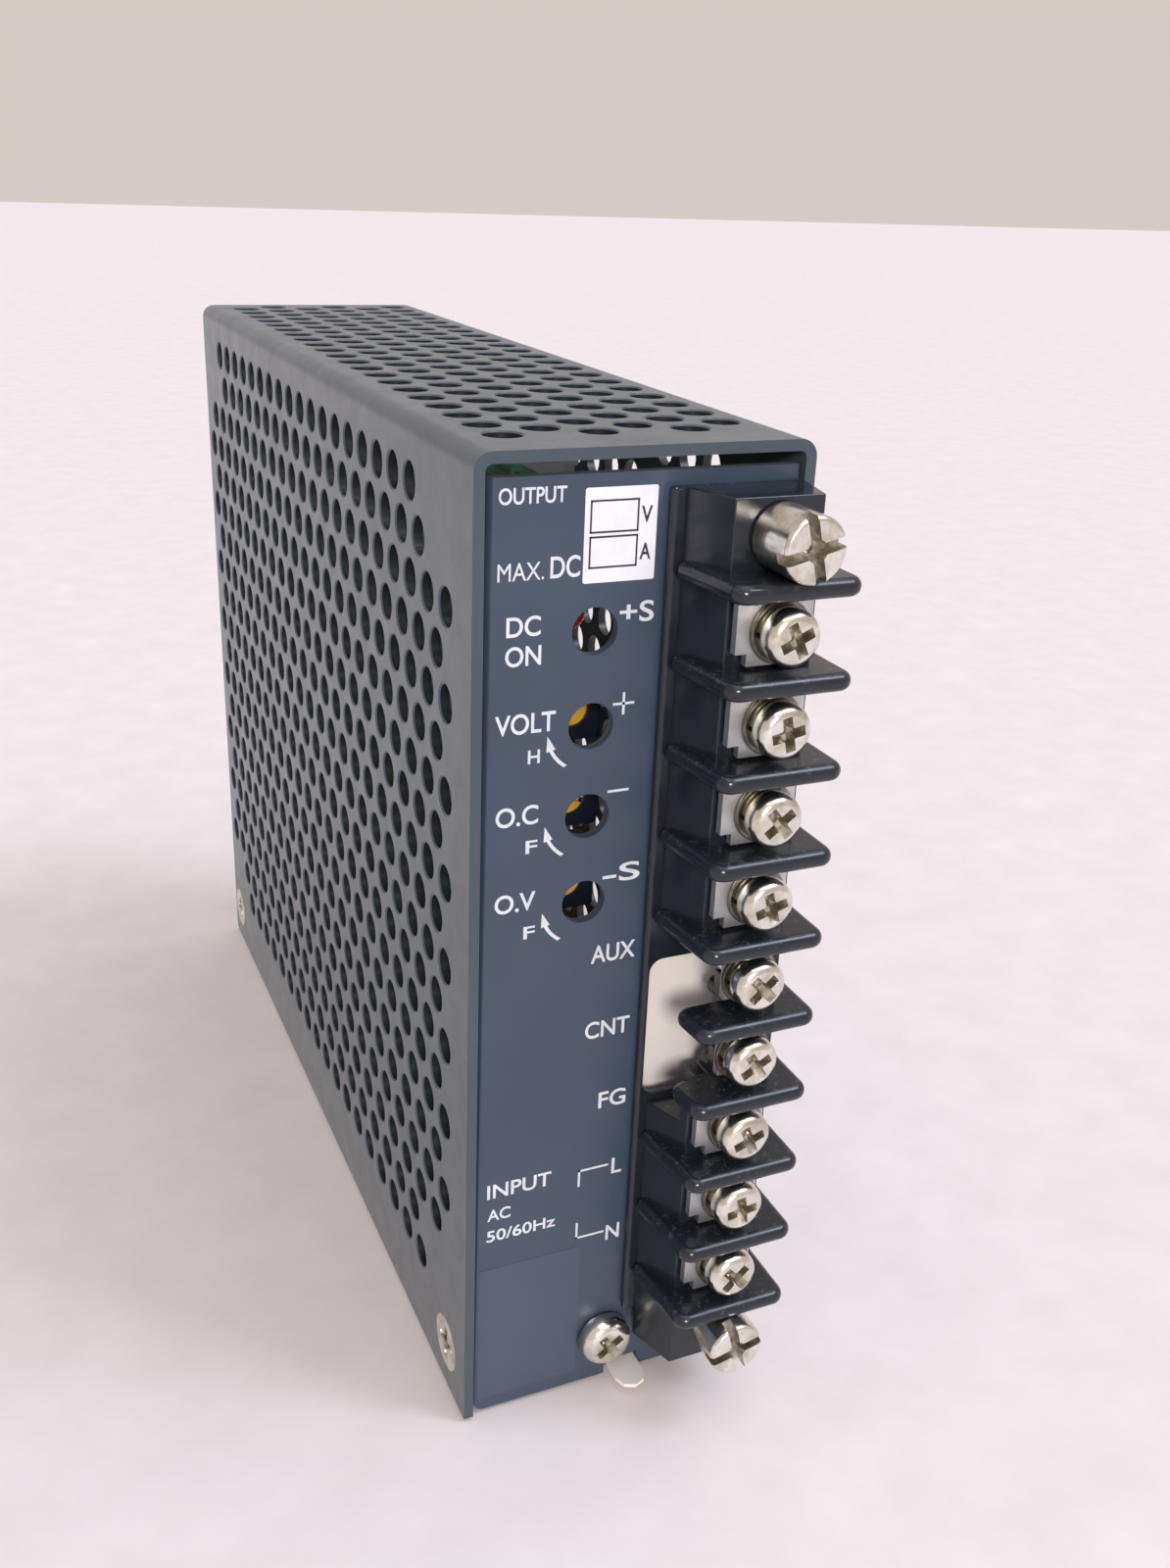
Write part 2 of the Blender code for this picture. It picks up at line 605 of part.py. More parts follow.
def make_terminal_block():
    left = BLOCK_LEFT
    right = BLOCK_RIGHT
    top = CASE_HEIGHT - BLOCK_TOP
    bottom = CASE_HEIGHT - BLOCK_BOTTOM
    deck_left = left + DECK_INSET_LEFT
    deck_right = right - DECK_INSET_RIGHT
    first, last = BARE_TERMINALS
    half = BARRIER_THICKNESS / 2
    ceiling = barrier_z(first) - half
    under = barrier_z(last + 1) - half
    bridge_left = TERMINAL_X - BRIDGE_OFFSET

    def body_shape(body):
        face = left - FACE_MARGIN
        outline = [(face, BLOCK_BACK), (face, BASE_FACE), (deck_left, DECK_FACE), (deck_right, DECK_FACE)]
        outline += [(right, BLOCK_BACK)]
        prism(body, outline, "Z", bottom, top)

    def base_edge(body):
        low = (left - BASE_MARGIN, BASE_FACE, BASE_BOTTOM)
        box(body, low, (TERMINAL_X, BLOCK_BACK, top))

    def barriers(body):
        low = (left, -BARRIER_REACH)
        high = (right, BLOCK_BACK)
        corner = BARRIER_CORNER
        outline = arc((low[0] + corner, low[1] + corner), corner, 180, 270, BEND_STEPS)
        outline += arc((high[0] - corner, low[1] + corner), corner, 270, 360, BEND_STEPS)
        outline += [high, (low[0], high[1])]
        for number in range(1, TERMINAL_COUNT + 2):
            middle = barrier_z(number)
            prism(body, outline, "Z", middle - half, middle + half)

    def shank_holes(body):
        depth = HEAD_BACK + TERMINAL_SHANK_LENGTH + CLEARANCE
        for number in range(1, TERMINAL_COUNT + 1):
            middle = (TERMINAL_X, 0.0, terminal_z(number))
            rod(body, middle, "Y", DECK_FACE - SHEET, depth, SHANK_HOLE, SHANK_SIDES)
        for rise in post_rises():
            middle = (TERMINAL_X, 0.0, rise)
            depth = DECK_FACE + POST_STUD_LENGTH + CLEARANCE
            rod(body, middle, "Y", DECK_FACE - SHEET, depth, SHANK_HOLE, SHANK_SIDES)

    def tail_slots(body):
        side = TAIL_THICKNESS / 2 + TAIL_SLOT_GAP
        rise = TAIL_WIDTH / 2 + TAIL_SLOT_GAP
        for number in wired_terminals():
            middle = terminal_z(number)
            low = (TAIL_X - side, DECK_FACE - SHEET, middle - rise)
            box(body, low, (TAIL_X + side, BLOCK_BACK + SHEET, middle + rise))

    def relief(body):
        # The left of the block is open behind the two bare terminals, down to the base.
        box(body, (left - SHEET, -RELIEF_REACH, under), (bridge_left, BASE_FACE, ceiling))

    def relief_foot(body):
        wall = TERMINAL_X - SHANK_HOLE / 2 - RELIEF_WALL
        box(body, (left - SHEET, -RELIEF_REACH, under - RELIEF_DROP), (wall, BASE_FACE, under + half))

    def front_relief(body):
        # A bridge is left in front, which carries each bare terminal's nut and screw.
        for number in BARE_TERMINALS:
            low = (left - SHEET, DECK_FACE - SHEET, barrier_z(number + 1) + half)
            box(body, low, (bridge_left, SHEET - RELIEF_REACH, barrier_z(number) - half))

    def bay(body):
        low = (left - SHEET, DECK_FACE + BRIDGE_THICKNESS, barrier_z(last + 1))
        box(body, low, (BAY_RIGHT, BASE_FACE, ceiling))

    def base_window(body):
        low = (BASE_WINDOW_X, CASE_HEIGHT - BASE_WINDOW_TOP - BASE_WINDOW_HEIGHT)
        outline = rounded_rectangle(low, (BAY_RIGHT, low[1] + BASE_WINDOW_HEIGHT), WINDOW_CORNER, BEND_STEPS)
        prism(body, outline, "Y", BASE_FACE - CLEARANCE, BLOCK_BACK + CLEARANCE)

    def rim_step(body):
        # The block's back edge stands just inside the cover's right rim.
        low = (RIGHT - SHEET - CLEARANCE, -CLEARANCE, 0.0)
        box(body, low, (CASE_WIDTH, CASE_DEPTH, CASE_HEIGHT))

    block = add_object("terminal_block", body_shape)
    join(block, "block_base_edge", base_edge)
    join(block, "block_barriers", barriers)
    cut(block, "block_rim_step", rim_step)
    cut(block, "block_shank_holes", shank_holes)
    cut(block, "block_tail_slots", tail_slots)
    cut(block, "block_relief", relief)
    cut(block, "block_relief_foot", relief_foot)
    cut(block, "block_front_relief", front_relief)
    cut(block, "block_bay", bay)
    cut(block, "block_base_window", base_window)
    return finish(block, (0.012, 0.014, 0.018), 0.28)


def post_rises():
    return (barrier_z(1) + POST_OFFSET, barrier_z(TERMINAL_COUNT + 1) - POST_OFFSET)


def wired_terminals():
    return [number for number in range(1, TERMINAL_COUNT + 1) if number not in BARE_TERMINALS]


def make_cover_posts():
    for name, rise in zip(("top", "bottom"), post_rises()):
        middle = (TERMINAL_X, 0.0, rise)
        seat = DECK_FACE - CLEARANCE
        face = seat - POST_LENGTH
        post = add_object("cover_post_" + name, lambda body: rod(
            body, middle, "Y", face, seat, POST_DIAMETER, ROUND_SIDES))
        join(post, "stud_of_" + post.name, lambda body: rod(
            body, middle, "Y", seat - SHEET, DECK_FACE + POST_STUD_LENGTH, SCREW_SHANK, SHANK_SIDES))
        cut(post, "cross_of_" + post.name, lambda body: front_cross(body, middle, face, 2 * POST_DIAMETER))
        finish(post, (0.6, 0.58, 0.52), 0.25, 1.0)


def make_terminal_plate(number):
    rise = terminal_z(number)
    wired = number not in BARE_TERMINALS
    half = PLATE_HEIGHT / 2 if wired else NUT_SIDE / 2
    left = TAIL_X + TAIL_THICKNESS / 2 - PLATE_WIDTH if wired else TERMINAL_X - NUT_SIDE / 2
    right = TAIL_X + TAIL_THICKNESS / 2 if wired else TERMINAL_X + NUT_SIDE / 2
    notch = PLATE_NOTCH
    outline = [(right, rise - half), (right, rise + half), (left, rise + half)]
    if wired:
        step = rise - half + notch
        outline += [(left, step), (left + notch, step), (left + notch, rise - half)]
    else:
        outline += [(left, rise - half)]
    plate = add_object("terminal_plate_%d" % number, lambda body: prism(
        body, outline, "Y", PLATE_FRONT, PLATE_BACK))
    if wired:
        side = TAIL_THICKNESS / 2
        low = (TAIL_X - side, PLATE_FRONT + PLATE_THICKNESS / 2, rise - TAIL_WIDTH / 2)
        high = (TAIL_X + side, TAIL_END, rise + TAIL_WIDTH / 2)
        join(plate, "tail_of_" + plate.name, lambda body: box(body, low, high))
    middle = (TERMINAL_X, 0.0, rise)
    cut(plate, "bore_of_" + plate.name, lambda body: rod(
        body, middle, "Y", PLATE_FRONT - SHEET, PLATE_BACK + SHEET, SHANK_HOLE, SHANK_SIDES))
    finish(plate, (0.55, 0.55, 0.55), 0.38, 1.0)


def make_terminal_washer(number):
    origin = (TERMINAL_X, WASHER_BACK, terminal_z(number))
    washer = add_object("terminal_washer_%d" % number, lambda body: rod(
        body, origin, "Y", WASHER_FRONT, WASHER_BACK, WASHER_DIAMETER, ROUND_SIDES), origin)
    cut(washer, "bore_of_" + washer.name, lambda body: rod(
        body, origin, "Y", WASHER_FRONT - SHEET, WASHER_BACK + SHEET, WASHER_BORE, SHANK_SIDES))
    finish(washer, (0.6, 0.55, 0.42), 0.32, 1.0)


def make_terminal_screw(number):
    origin = (TERMINAL_X, HEAD_BACK, terminal_z(number))
    face = HEAD_BACK - TERMINAL_HEAD_HEIGHT
    tip = HEAD_BACK + TERMINAL_SHANK_LENGTH
    screw = add_object("terminal_screw_%d" % number, lambda body: rod(
        body, origin, "Y", HEAD_BACK - SHEET, tip, SCREW_SHANK, SHANK_SIDES), origin)
    join(screw, "head_of_" + screw.name, lambda body: pan_head(
        body, origin, HEAD_BACK, TERMINAL_HEAD, TERMINAL_HEAD_HEIGHT))
    cut(screw, "cross_of_" + screw.name, lambda body: front_cross(body, origin, face, TERMINAL_HEAD))
    finish(screw, (0.75, 0.73, 0.66), 0.2, 1.0)


# Insulation

def make_window_sheet():
    # The lower right corner steps in to pass the tail of the next wired terminal.
    lap = SHEET_OVERLAP
    front = PANEL_BACK + CLEARANCE
    left = WINDOW_X - lap
    right = BAY_RIGHT + SHEET_RIGHT
    inner = TAIL_X - TAIL_THICKNESS / 2 - CLEARANCE
    bottom = CASE_HEIGHT - WINDOW_TOP - WINDOW_HEIGHT - lap
    top = CASE_HEIGHT - WINDOW_TOP + lap
    step = terminal_z(BARE_TERMINALS[-1] + 1) + TAIL_WIDTH / 2 + 2 * CLEARANCE
    outline = [(left, bottom), (inner, bottom), (inner, step), (right, step), (right, top), (left, top)]
    sheet = add_object("window_insulator", lambda body: prism(body, outline, "Y", front, front + INSULATOR))
    return finish(sheet, (0.78, 0.72, 0.68), 0.6)


def make_base_insulator():
    inside = CHASSIS_HALF - SHEET - CLEARANCE
    low_z = SHEET + CLEARANCE
    high_z = low_z + INSULATOR
    front = FLANGE_FRONT + SHEET + CLEARANCE
    back = REAR_FACE - SHEET - CLEARANCE
    left = TONGUE_X
    right = left + TONGUE_WIDTH
    tip = TONGUE_WIDTH / 2
    outline = [(-inside, front), (left, front)]
    outline += arc((left + tip, tip - TONGUE_REACH), tip, 180, 360, BEND_STEPS)
    outline += [(right, front), (inside, front), (inside, back), (-inside, back)]
    sheet = add_object("base_insulator", lambda body: prism(body, outline, "Z", low_z, high_z))
    return finish(sheet, (0.78, 0.72, 0.68), 0.6)


# Indicator and trimmers

def make_trimmer(number):
    rise = hole_z(number)
    half = TRIMMER_SIDE / 2
    middle = (HOLE_X, 0.0, rise)
    bore = ROTOR_DIAMETER + 2 * ROTOR_RUNNING_GAP
    seat = TRIMMER_FRONT + ROTOR_SEAT
    low = (PART_SEAT, TRIMMER_FRONT, rise - half)
    housing = add_object("trimmer_body_%d" % number, lambda body: box(
        body, low, (HOLE_X + half, TRIMMER_BACK, rise + half)))
    cut(housing, "bore_of_" + housing.name, lambda body: rod(
        body, middle, "Y", TRIMMER_FRONT - SHEET, seat + ROTOR_END_GAP, bore, ROTOR_SIDES))
    finish(housing, (0.02, 0.05, 0.16), 0.4)
    face = seat - ROTOR_LENGTH
    rotor = add_object("trimmer_rotor_%d" % number, lambda body: rod(
        body, middle, "Y", face, seat, ROTOR_DIAMETER, ROTOR_SIDES), (HOLE_X, seat, rise))
    slot = ROTOR_SLOT / 2
    cut(rotor, "slot_of_" + rotor.name, lambda body: box(
        body,
        (HOLE_X - ROTOR_DIAMETER, face - SHEET, rise - slot),
        (HOLE_X + ROTOR_DIAMETER, face + ROTOR_SLOT, rise + slot)))
    finish(rotor, (0.72, 0.42, 0.06), 0.45)


def make_led():
    back = TRIMMER_BACK
    radius = LED_DIAMETER / 2
    flange = LED_FLANGE / 2
    shoulder = PANEL_FRONT + LED_RECESS + radius
    step = back - LED_FLANGE_LENGTH
    profile = [(back, 0.0), (back, flange), (step, flange), (step, radius)]
    for height, across in arc((0.0, 0.0), radius, 90, 0, BEND_STEPS)[:-1]:
        profile.append((shoulder - height, across))
    profile.append((shoulder - radius, 0.0))
    middle = (HOLE_X, 0.0, hole_z(0))
    led = add_object("indicator_led", lambda body: lathe(body, middle, profile, ROUND_SIDES))
    half = LED_HOLDER_SIDE / 2
    low = (PART_SEAT, back - LED_FLANGE_LENGTH / 2, hole_z(0) - half)
    high = (HOLE_X + half, back + LED_HOLDER_DEPTH, hole_z(0) + half)
    join(led, "led_holder", lambda body: box(body, low, high))
    return finish(led, (0.55, 0.02, 0.02), 0.25)


# Boards and their parts

def make_boards():
    top = CASE_HEIGHT - BOARD_TOP_GAP
    back = REAR_FACE - SHEET - BOARD_BACK_GAP
    wall = CLEARANCE + SHEET - CHASSIS_HALF

    def spacers(body):
        for distance in SPACER_BACKS:
            middle = (0.0, distance, SPACER_RISE)
            rod(body, middle, "X", wall, BOARD_LEFT + BOARD / 2, SPACER_DIAMETER, ROUND_SIDES)

    main = add_object("main_board", lambda body: box(
        body, (BOARD_LEFT, BOARD_FRONT, BOARD_RISE), (BOARD_RIGHT, back, top)))
    join(main, "board_spacers", spacers)
    finish(main, (0.03, 0.16, 0.07), 0.5)

    right = CHASSIS_HALF - SHEET - CLEARANCE
    outline = [(PART_SEAT, TERMINAL_BOARD_RISE), (right, TERMINAL_BOARD_RISE), (right, TERMINAL_BOARD_TOP)]
    outline += [(WINDOW_X, TERMINAL_BOARD_TOP), (WINDOW_X, TERMINAL_BOARD_STEP)]
    outline += [(PART_SEAT, TERMINAL_BOARD_STEP)]
    front = TAIL_END + CLEARANCE
    small = add_object("terminal_board", lambda body: prism(body, outline, "Y", front, front + BOARD))
    finish(small, (0.03, 0.16, 0.07), 0.5)


def make_can(name, back, rise, diameter, length, colour):
    middle = (0.0, back, rise)
    can = add_object(name, lambda body: rod(
        body, middle, "X", PART_SEAT, PART_SEAT + length, diameter, ROUND_SIDES))
    finish(can, colour, 0.35)


def make_seated_box(name, size, back, rise, colour):
    low = (PART_SEAT, back - size[1] / 2, rise - size[2] / 2)
    item = add_object(name, lambda body: box(
        body, low, (PART_SEAT + size[0], back + size[1] / 2, rise + size[2] / 2)))
    finish(item, colour, 0.45)


def make_transformer():
    gap = CLEARANCE
    middle_x = PART_SEAT + WINDING_BUILD + gap + CORE_THICKNESS / 2
    half_x = CORE_THICKNESS / 2
    half_z = CORE_LENGTH / 2
    window_z = half_z - CORE_YOKE
    leg = CORE_LEG / 2
    outer_y = leg + CORE_WINDOW + CORE_YOKE

    def core_block(body):
        low = (middle_x - half_x, CORE_BACK - outer_y, CORE_RISE - half_z)
        box(body, low, (middle_x + half_x, CORE_BACK + outer_y, CORE_RISE + half_z))

    def core_windows(body):
        for side in (-1, 1):
            edges = sorted((CORE_BACK + side * leg, CORE_BACK + side * (leg + CORE_WINDOW)))
            low = (middle_x - 2 * half_x, edges[0], CORE_RISE - window_z)
            box(body, low, (middle_x + 2 * half_x, edges[1], CORE_RISE + window_z))

    def winding_block(body):
        reach = leg + CORE_WINDOW - gap
        right = middle_x + half_x + gap + WINDING_BUILD
        low = (PART_SEAT, CORE_BACK - reach, CORE_RISE - window_z + gap)
        box(body, low, (right, CORE_BACK + reach, CORE_RISE + window_z - gap))

    def winding_bore(body):
        low = (middle_x - half_x - gap, CORE_BACK - leg - gap, CORE_RISE - half_z)
        box(body, low, (middle_x + half_x + gap, CORE_BACK + leg + gap, CORE_RISE + half_z))

    core = add_object("transformer_core", core_block)
    cut(core, "core_windows", core_windows)
    finish(core, (0.03, 0.03, 0.032), 0.6)
    winding = add_object("transformer_winding", winding_block)
    cut(winding, "winding_bore", winding_bore)
    finish(winding, (0.75, 0.55, 0.1), 0.5)


def make_fuse():
    across = PART_SEAT + FUSE_DIAMETER / 2
    middle = (across, 0.0, FUSE_RISE)
    front = FUSE_BACK - FUSE_LENGTH / 2
    back = FUSE_BACK + FUSE_LENGTH / 2
    cap = FUSE_DIAMETER / 2
    glass = cap - FUSE_GLASS_STEP / 2
    profile = [(front, 0.0), (front, cap), (front + FUSE_CAP, cap), (front + FUSE_CAP, glass)]
    profile += [(back - FUSE_CAP, glass), (back - FUSE_CAP, cap), (back, cap), (back, 0.0)]
    fuse = add_object("fuse", lambda body: lathe(body, middle, profile, ROUND_SIDES))
    finish(fuse, (0.6, 0.6, 0.58), 0.3, 0.6)


def make_heat_sink():
    half = SINK_HEIGHT / 2
    front = SINK_BACK - SINK_THICKNESS / 2
    back = SINK_BACK + SINK_THICKNESS / 2
    low = (PART_SEAT, front, SINK_RISE - half)
    high = (PART_SEAT + SINK_REACH, back, SINK_RISE + half)
    sink = add_object("heat_sink", lambda body: box(body, low, high))
    finish(sink, (0.6, 0.61, 0.62), 0.35, 1.0)
    width, depth, height = POWER_CASE
    left = PART_SEAT + CLEARANCE
    places = (
        ("power_transistor", back + CLEARANCE, SINK_RISE - POWER_CASE_RISE),
        ("output_rectifier", front - CLEARANCE - depth, SINK_RISE + POWER_CASE_RISE),
    )
    for name, face, rise in places:
        start = (left, face, rise - height / 2)
        end = (left + width, face + depth, rise + height / 2)
        case = add_object(name, lambda body: box(body, start, end))
        finish(case, (0.02, 0.02, 0.022), 0.5)


def centre_on_base():
    frame = bpy.data.objects.new("assembly_frame", None)
    frame.location = (0.0, -CASE_DEPTH / 2, 0.0)
    for item in list(bpy.data.objects):
        if item.type == "MESH":
            item.parent = frame
    bpy.context.scene.collection.objects.link(frame)


def main():
    clear_scene()
    make_cover()
    make_chassis()
    make_front_panel()
    make_side_screws()
    make_panel_screw()
    make_terminal_block()
    make_cover_posts()
    for number in range(1, TERMINAL_COUNT + 1):
        make_terminal_plate(number)
        make_terminal_washer(number)
        make_terminal_screw(number)
    make_window_sheet()
    make_base_insulator()
    make_boards()
    make_led()
    for number in range(1, TRIMMER_COUNT + 1):
        make_trimmer(number)
    make_transformer()
    sleeve = (0.03, 0.03, 0.05)
    make_can("bulk_capacitor", BULK_BACK, BULK_RISE, BULK_DIAMETER, BULK_LENGTH, sleeve)
    for number, drop in enumerate(OUTPUT_DROPS, 1):
        name = "output_capacitor_%d" % number
        rise = CASE_HEIGHT - drop
        make_can(name, OUTPUT_BACK, rise, OUTPUT_DIAMETER, OUTPUT_LENGTH, (0.04, 0.03, 0.08))
    make_seated_box("filter_choke", CHOKE_SIZE, CHOKE_BACK, CHOKE_RISE, (0.45, 0.2, 0.05))
    make_seated_box("input_filter_capacitor", FILM_SIZE, FILM_BACK, FILM_RISE, (0.6, 0.45, 0.05))
    make_fuse()
    make_heat_sink()
    centre_on_base()


main()
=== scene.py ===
import math

import bpy
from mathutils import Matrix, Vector


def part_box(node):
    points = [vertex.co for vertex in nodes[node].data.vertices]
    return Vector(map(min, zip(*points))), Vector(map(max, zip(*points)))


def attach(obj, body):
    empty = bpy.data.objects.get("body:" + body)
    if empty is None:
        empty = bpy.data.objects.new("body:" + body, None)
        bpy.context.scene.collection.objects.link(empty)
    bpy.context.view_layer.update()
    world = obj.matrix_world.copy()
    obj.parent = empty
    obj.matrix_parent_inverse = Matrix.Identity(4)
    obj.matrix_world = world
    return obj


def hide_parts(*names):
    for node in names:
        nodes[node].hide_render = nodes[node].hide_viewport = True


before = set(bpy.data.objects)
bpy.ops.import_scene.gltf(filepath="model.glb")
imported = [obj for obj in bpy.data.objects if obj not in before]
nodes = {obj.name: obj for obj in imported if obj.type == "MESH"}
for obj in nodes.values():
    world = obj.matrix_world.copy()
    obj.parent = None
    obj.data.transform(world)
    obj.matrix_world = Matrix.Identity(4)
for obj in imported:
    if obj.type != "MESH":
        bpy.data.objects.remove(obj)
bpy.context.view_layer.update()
mm = 0.001
near = 0.01 * mm  # places closer than this count as one
print("frame loaded,", len(nodes), "nodes")

coverLow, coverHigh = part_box("cover")
panelLow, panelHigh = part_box("front_panel")
blockLow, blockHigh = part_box("terminal_block")
front = coverLow.y
top = coverHigh.z
left = coverLow.x


# hand tools

def only(piece):
    bpy.ops.object.select_all(action="DESELECT")
    piece.select_set(True)
    bpy.context.view_layer.objects.active = piece


def settle(piece, name):
    # the place goes into the mesh and the object stays at the origin
    piece.name = name
    piece.data.name = name
    only(piece)
    bpy.ops.object.transform_apply(location=True, rotation=True, scale=True)
    return piece


def startCube(name, low, high):
    low, high = Vector(low), Vector(high)
    bpy.ops.object.select_all(action="DESELECT")
    bpy.ops.mesh.primitive_cube_add(size=1, location=(low + high) / 2)
    bpy.context.object.scale = high - low
    return settle(bpy.context.object, name)


def startCylinder(name, centre, axis, length, diameter, sides=48):
    turns = {"x": (0, math.pi / 2, 0), "y": (math.pi / 2, 0, 0), "z": (0, 0, 0)}
    bpy.ops.object.select_all(action="DESELECT")
    bpy.ops.mesh.primitive_cylinder_add(
        vertices=sides, radius=diameter / 2, depth=length, location=centre, rotation=turns[axis])
    return settle(bpy.context.object, name)


def startCone(name, centre, turn, length, wide, narrow, sides=48):
    bpy.ops.object.select_all(action="DESELECT")
    bpy.ops.mesh.primitive_cone_add(
        vertices=sides, radius1=wide / 2, radius2=narrow / 2, depth=length, location=centre, rotation=turn)
    return settle(bpy.context.object, name)


def work(piece, kind, **settings):
    only(piece)
    change = piece.modifiers.new(kind.lower(), kind)
    for key, value in settings.items():
        setattr(change, key, value)
    bpy.ops.object.modifier_apply(modifier=change.name)
    return piece


def cutAway(piece, cutters, solver="EXACT"):
    # a cut face keeps the finish of its cutter
    for cutter in cutters:
        work(piece, "BOOLEAN", operation="DIFFERENCE", solver=solver, object=cutter, material_mode="TRANSFER")
        bpy.data.objects.remove(cutter, do_unlink=True)


def repeat(piece, count, step):
    work(piece, "ARRAY", count=count, use_relative_offset=False, use_constant_offset=True,
         constant_offset_displace=step)


def roundEdges(piece, width, steps=2, angle=50):
    work(piece, "BEVEL", width=width, segments=steps, limit_method="ANGLE", angle_limit=math.radians(angle))


def smooth(piece, angle=35):
    only(piece)
    bpy.ops.object.shade_smooth_by_angle(angle=math.radians(angle))
    # large flat faces keep their own normal where a rounded edge meets them
    return work(piece, "WEIGHTED_NORMAL", keep_sharp=True)


def clearPicks(piece):
    only(piece)
    mesh = piece.data
    for group in (mesh.vertices, mesh.edges, mesh.polygons):
        group.foreach_set("select", [False] * len(group))
    return mesh


def editFaces(piece, test):
    # faces picked by their place and normal, left selected in edit mode
    for face in clearPicks(piece).polygons:
        face.select = test(face.center, face.normal)
    bpy.context.tool_settings.mesh_select_mode = (False, False, True)
    bpy.ops.object.mode_set(mode="EDIT")


def editEdges(piece, test):
    # edges picked by the places of their two ends
    mesh = clearPicks(piece)
    for edge in mesh.edges:
        edge.select = test(*[mesh.vertices[index].co for index in edge.vertices])
    bpy.context.tool_settings.mesh_select_mode = (False, True, False)
    bpy.ops.object.mode_set(mode="EDIT")


def endEdit():
    bpy.ops.object.mode_set(mode="OBJECT")


def bevelEdges(piece, width, steps, test):
    editEdges(piece, test)
    bpy.ops.mesh.bevel(offset=width, segments=steps, affect="EDGES")
    endEdit()


def runs(axis, a, b, least=0.1 * mm):
    # an edge that goes along an axis
    return abs(getattr(a - b, axis)) > least


def uprightAt(a, b, x, y):
    # the long upright edge at a piece's left front corner
    return runs("z", a, b, 10 * mm) and max(a.x, b.x) < x + near and max(a.y, b.y) < y + near


def copyTo(piece, name, move):
    only(piece)
    bpy.ops.object.duplicate()
    bpy.ops.transform.translate(value=move)
    return settle(bpy.context.object, name)


def turnAbout(piece, centre, axis, degrees):
    only(piece)
    bpy.ops.transform.rotate(value=math.radians(degrees), orient_axis=axis, center_override=centre)
    return settle(piece, piece.name)


def joinAll(name, parts):
    bpy.ops.object.select_all(action="DESELECT")
    for part in parts:
        part.select_set(True)
    bpy.context.view_layer.objects.active = parts[0]
    bpy.ops.object.join()
    return settle(bpy.context.object, name)


def paint(piece, material):
    piece.data.materials.clear()
    piece.data.materials.append(material)
    return piece


def fit(piece, material, slot, body, *stoodFor):
    # a piece that is painted already is given no material here
    if material:
        paint(piece, material)
    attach(piece, body)
    if stoodFor:
        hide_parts(*stoodFor)


# materials

def linear(hexColour):
    parts = [int(hexColour[place:place + 2], 16) / 255 for place in (1, 3, 5)]
    return [v / 12.92 if v <= 0.04045 else ((v + 0.055) / 1.055) ** 2.4 for v in parts] + [1.0]


def grey(value):
    return (value, value, value, 1.0)


def addNode(tree, kind, settings, links):
    node = tree.nodes.new(kind)
    for key, value in settings.items():
        if key == "stops":
            for mark, (spot, colour) in zip(node.color_ramp.elements, value):
                mark.position = spot
                mark.color = colour
        elif isinstance(key, int) or key in node.inputs:
            node.inputs[key].default_value = value
        else:
            setattr(node, key, value)
    for socket, source in links.items():
        tree.links.new(source, node.inputs[socket])
    return node


def startMaterial(name, **sockets):
    material = bpy.data.materials.new(name)
    material.use_nodes = True
    tree = material.node_tree
    shader = tree.nodes["Principled BSDF"]
    for key, value in sockets.items():
        shader.inputs[key.replace("_", " ")].default_value = value
    place = addNode(tree, "ShaderNodeTexCoord", {}, {}).outputs["Object"]
    return material, tree, shader, place


def clouds(tree, place, stops, sizeMm, detail, rough=0.55):
    # two tones that change into each other in soft clouds of about sizeMm across
    cloud = addNode(tree, "ShaderNodeTexNoise",
                    {"Scale": 1 / (sizeMm * mm), "Detail": detail, "Roughness": rough}, {"Vector": place})
    return addNode(tree, "ShaderNodeValToRGB", {"stops": stops}, {"Fac": cloud.outputs["Fac"]}).outputs["Color"]


def unevenSkin(tree, shader, place, sizeMm, detail, depthMm, strength):
    # a faint relief with grains of about sizeMm across
    grain = addNode(tree, "ShaderNodeTexNoise",
                    {"Scale": 1 / (sizeMm * mm), "Detail": detail, "Roughness": 0.55}, {"Vector": place})
    relief = addNode(tree, "ShaderNodeBump", {"Strength": strength, "Distance": depthMm * mm},
                     {"Height": grain.outputs["Fac"]})
    tree.links.new(relief.outputs["Normal"], shader.inputs["Normal"])


def paintedSteel(name, base, shade, dust):
    # stoved slate paint on sheet steel: low sheen, fine orange peel, faint handling marks
    material, tree, shader, place = startMaterial(name, IOR=1.5, Sheen_Weight=dust, Sheen_Roughness=0.45)
    tone = clouds(tree, place, [(0.3, linear(shade)), (0.7, linear(base))], sizeMm=14.0, detail=5.0)
    tree.links.new(tone, shader.inputs["Base Color"])
    wear = clouds(tree, place, [(0.3, grey(0.28)), (0.75, grey(0.42))], sizeMm=4.0, detail=6.0, rough=0.65)
    tree.links.new(wear, shader.inputs["Roughness"])
    # drawn coarser than real orange peel so that it shows
    unevenSkin(tree, shader, place, sizeMm=0.55, detail=2.0, depthMm=0.02, strength=0.6)
    return material


phenolicLook = {"black": "#1E232B", "dust": "#8C8F94", "dustShare": 0.35, "glossy": 0.14, "hazy": 0.27}


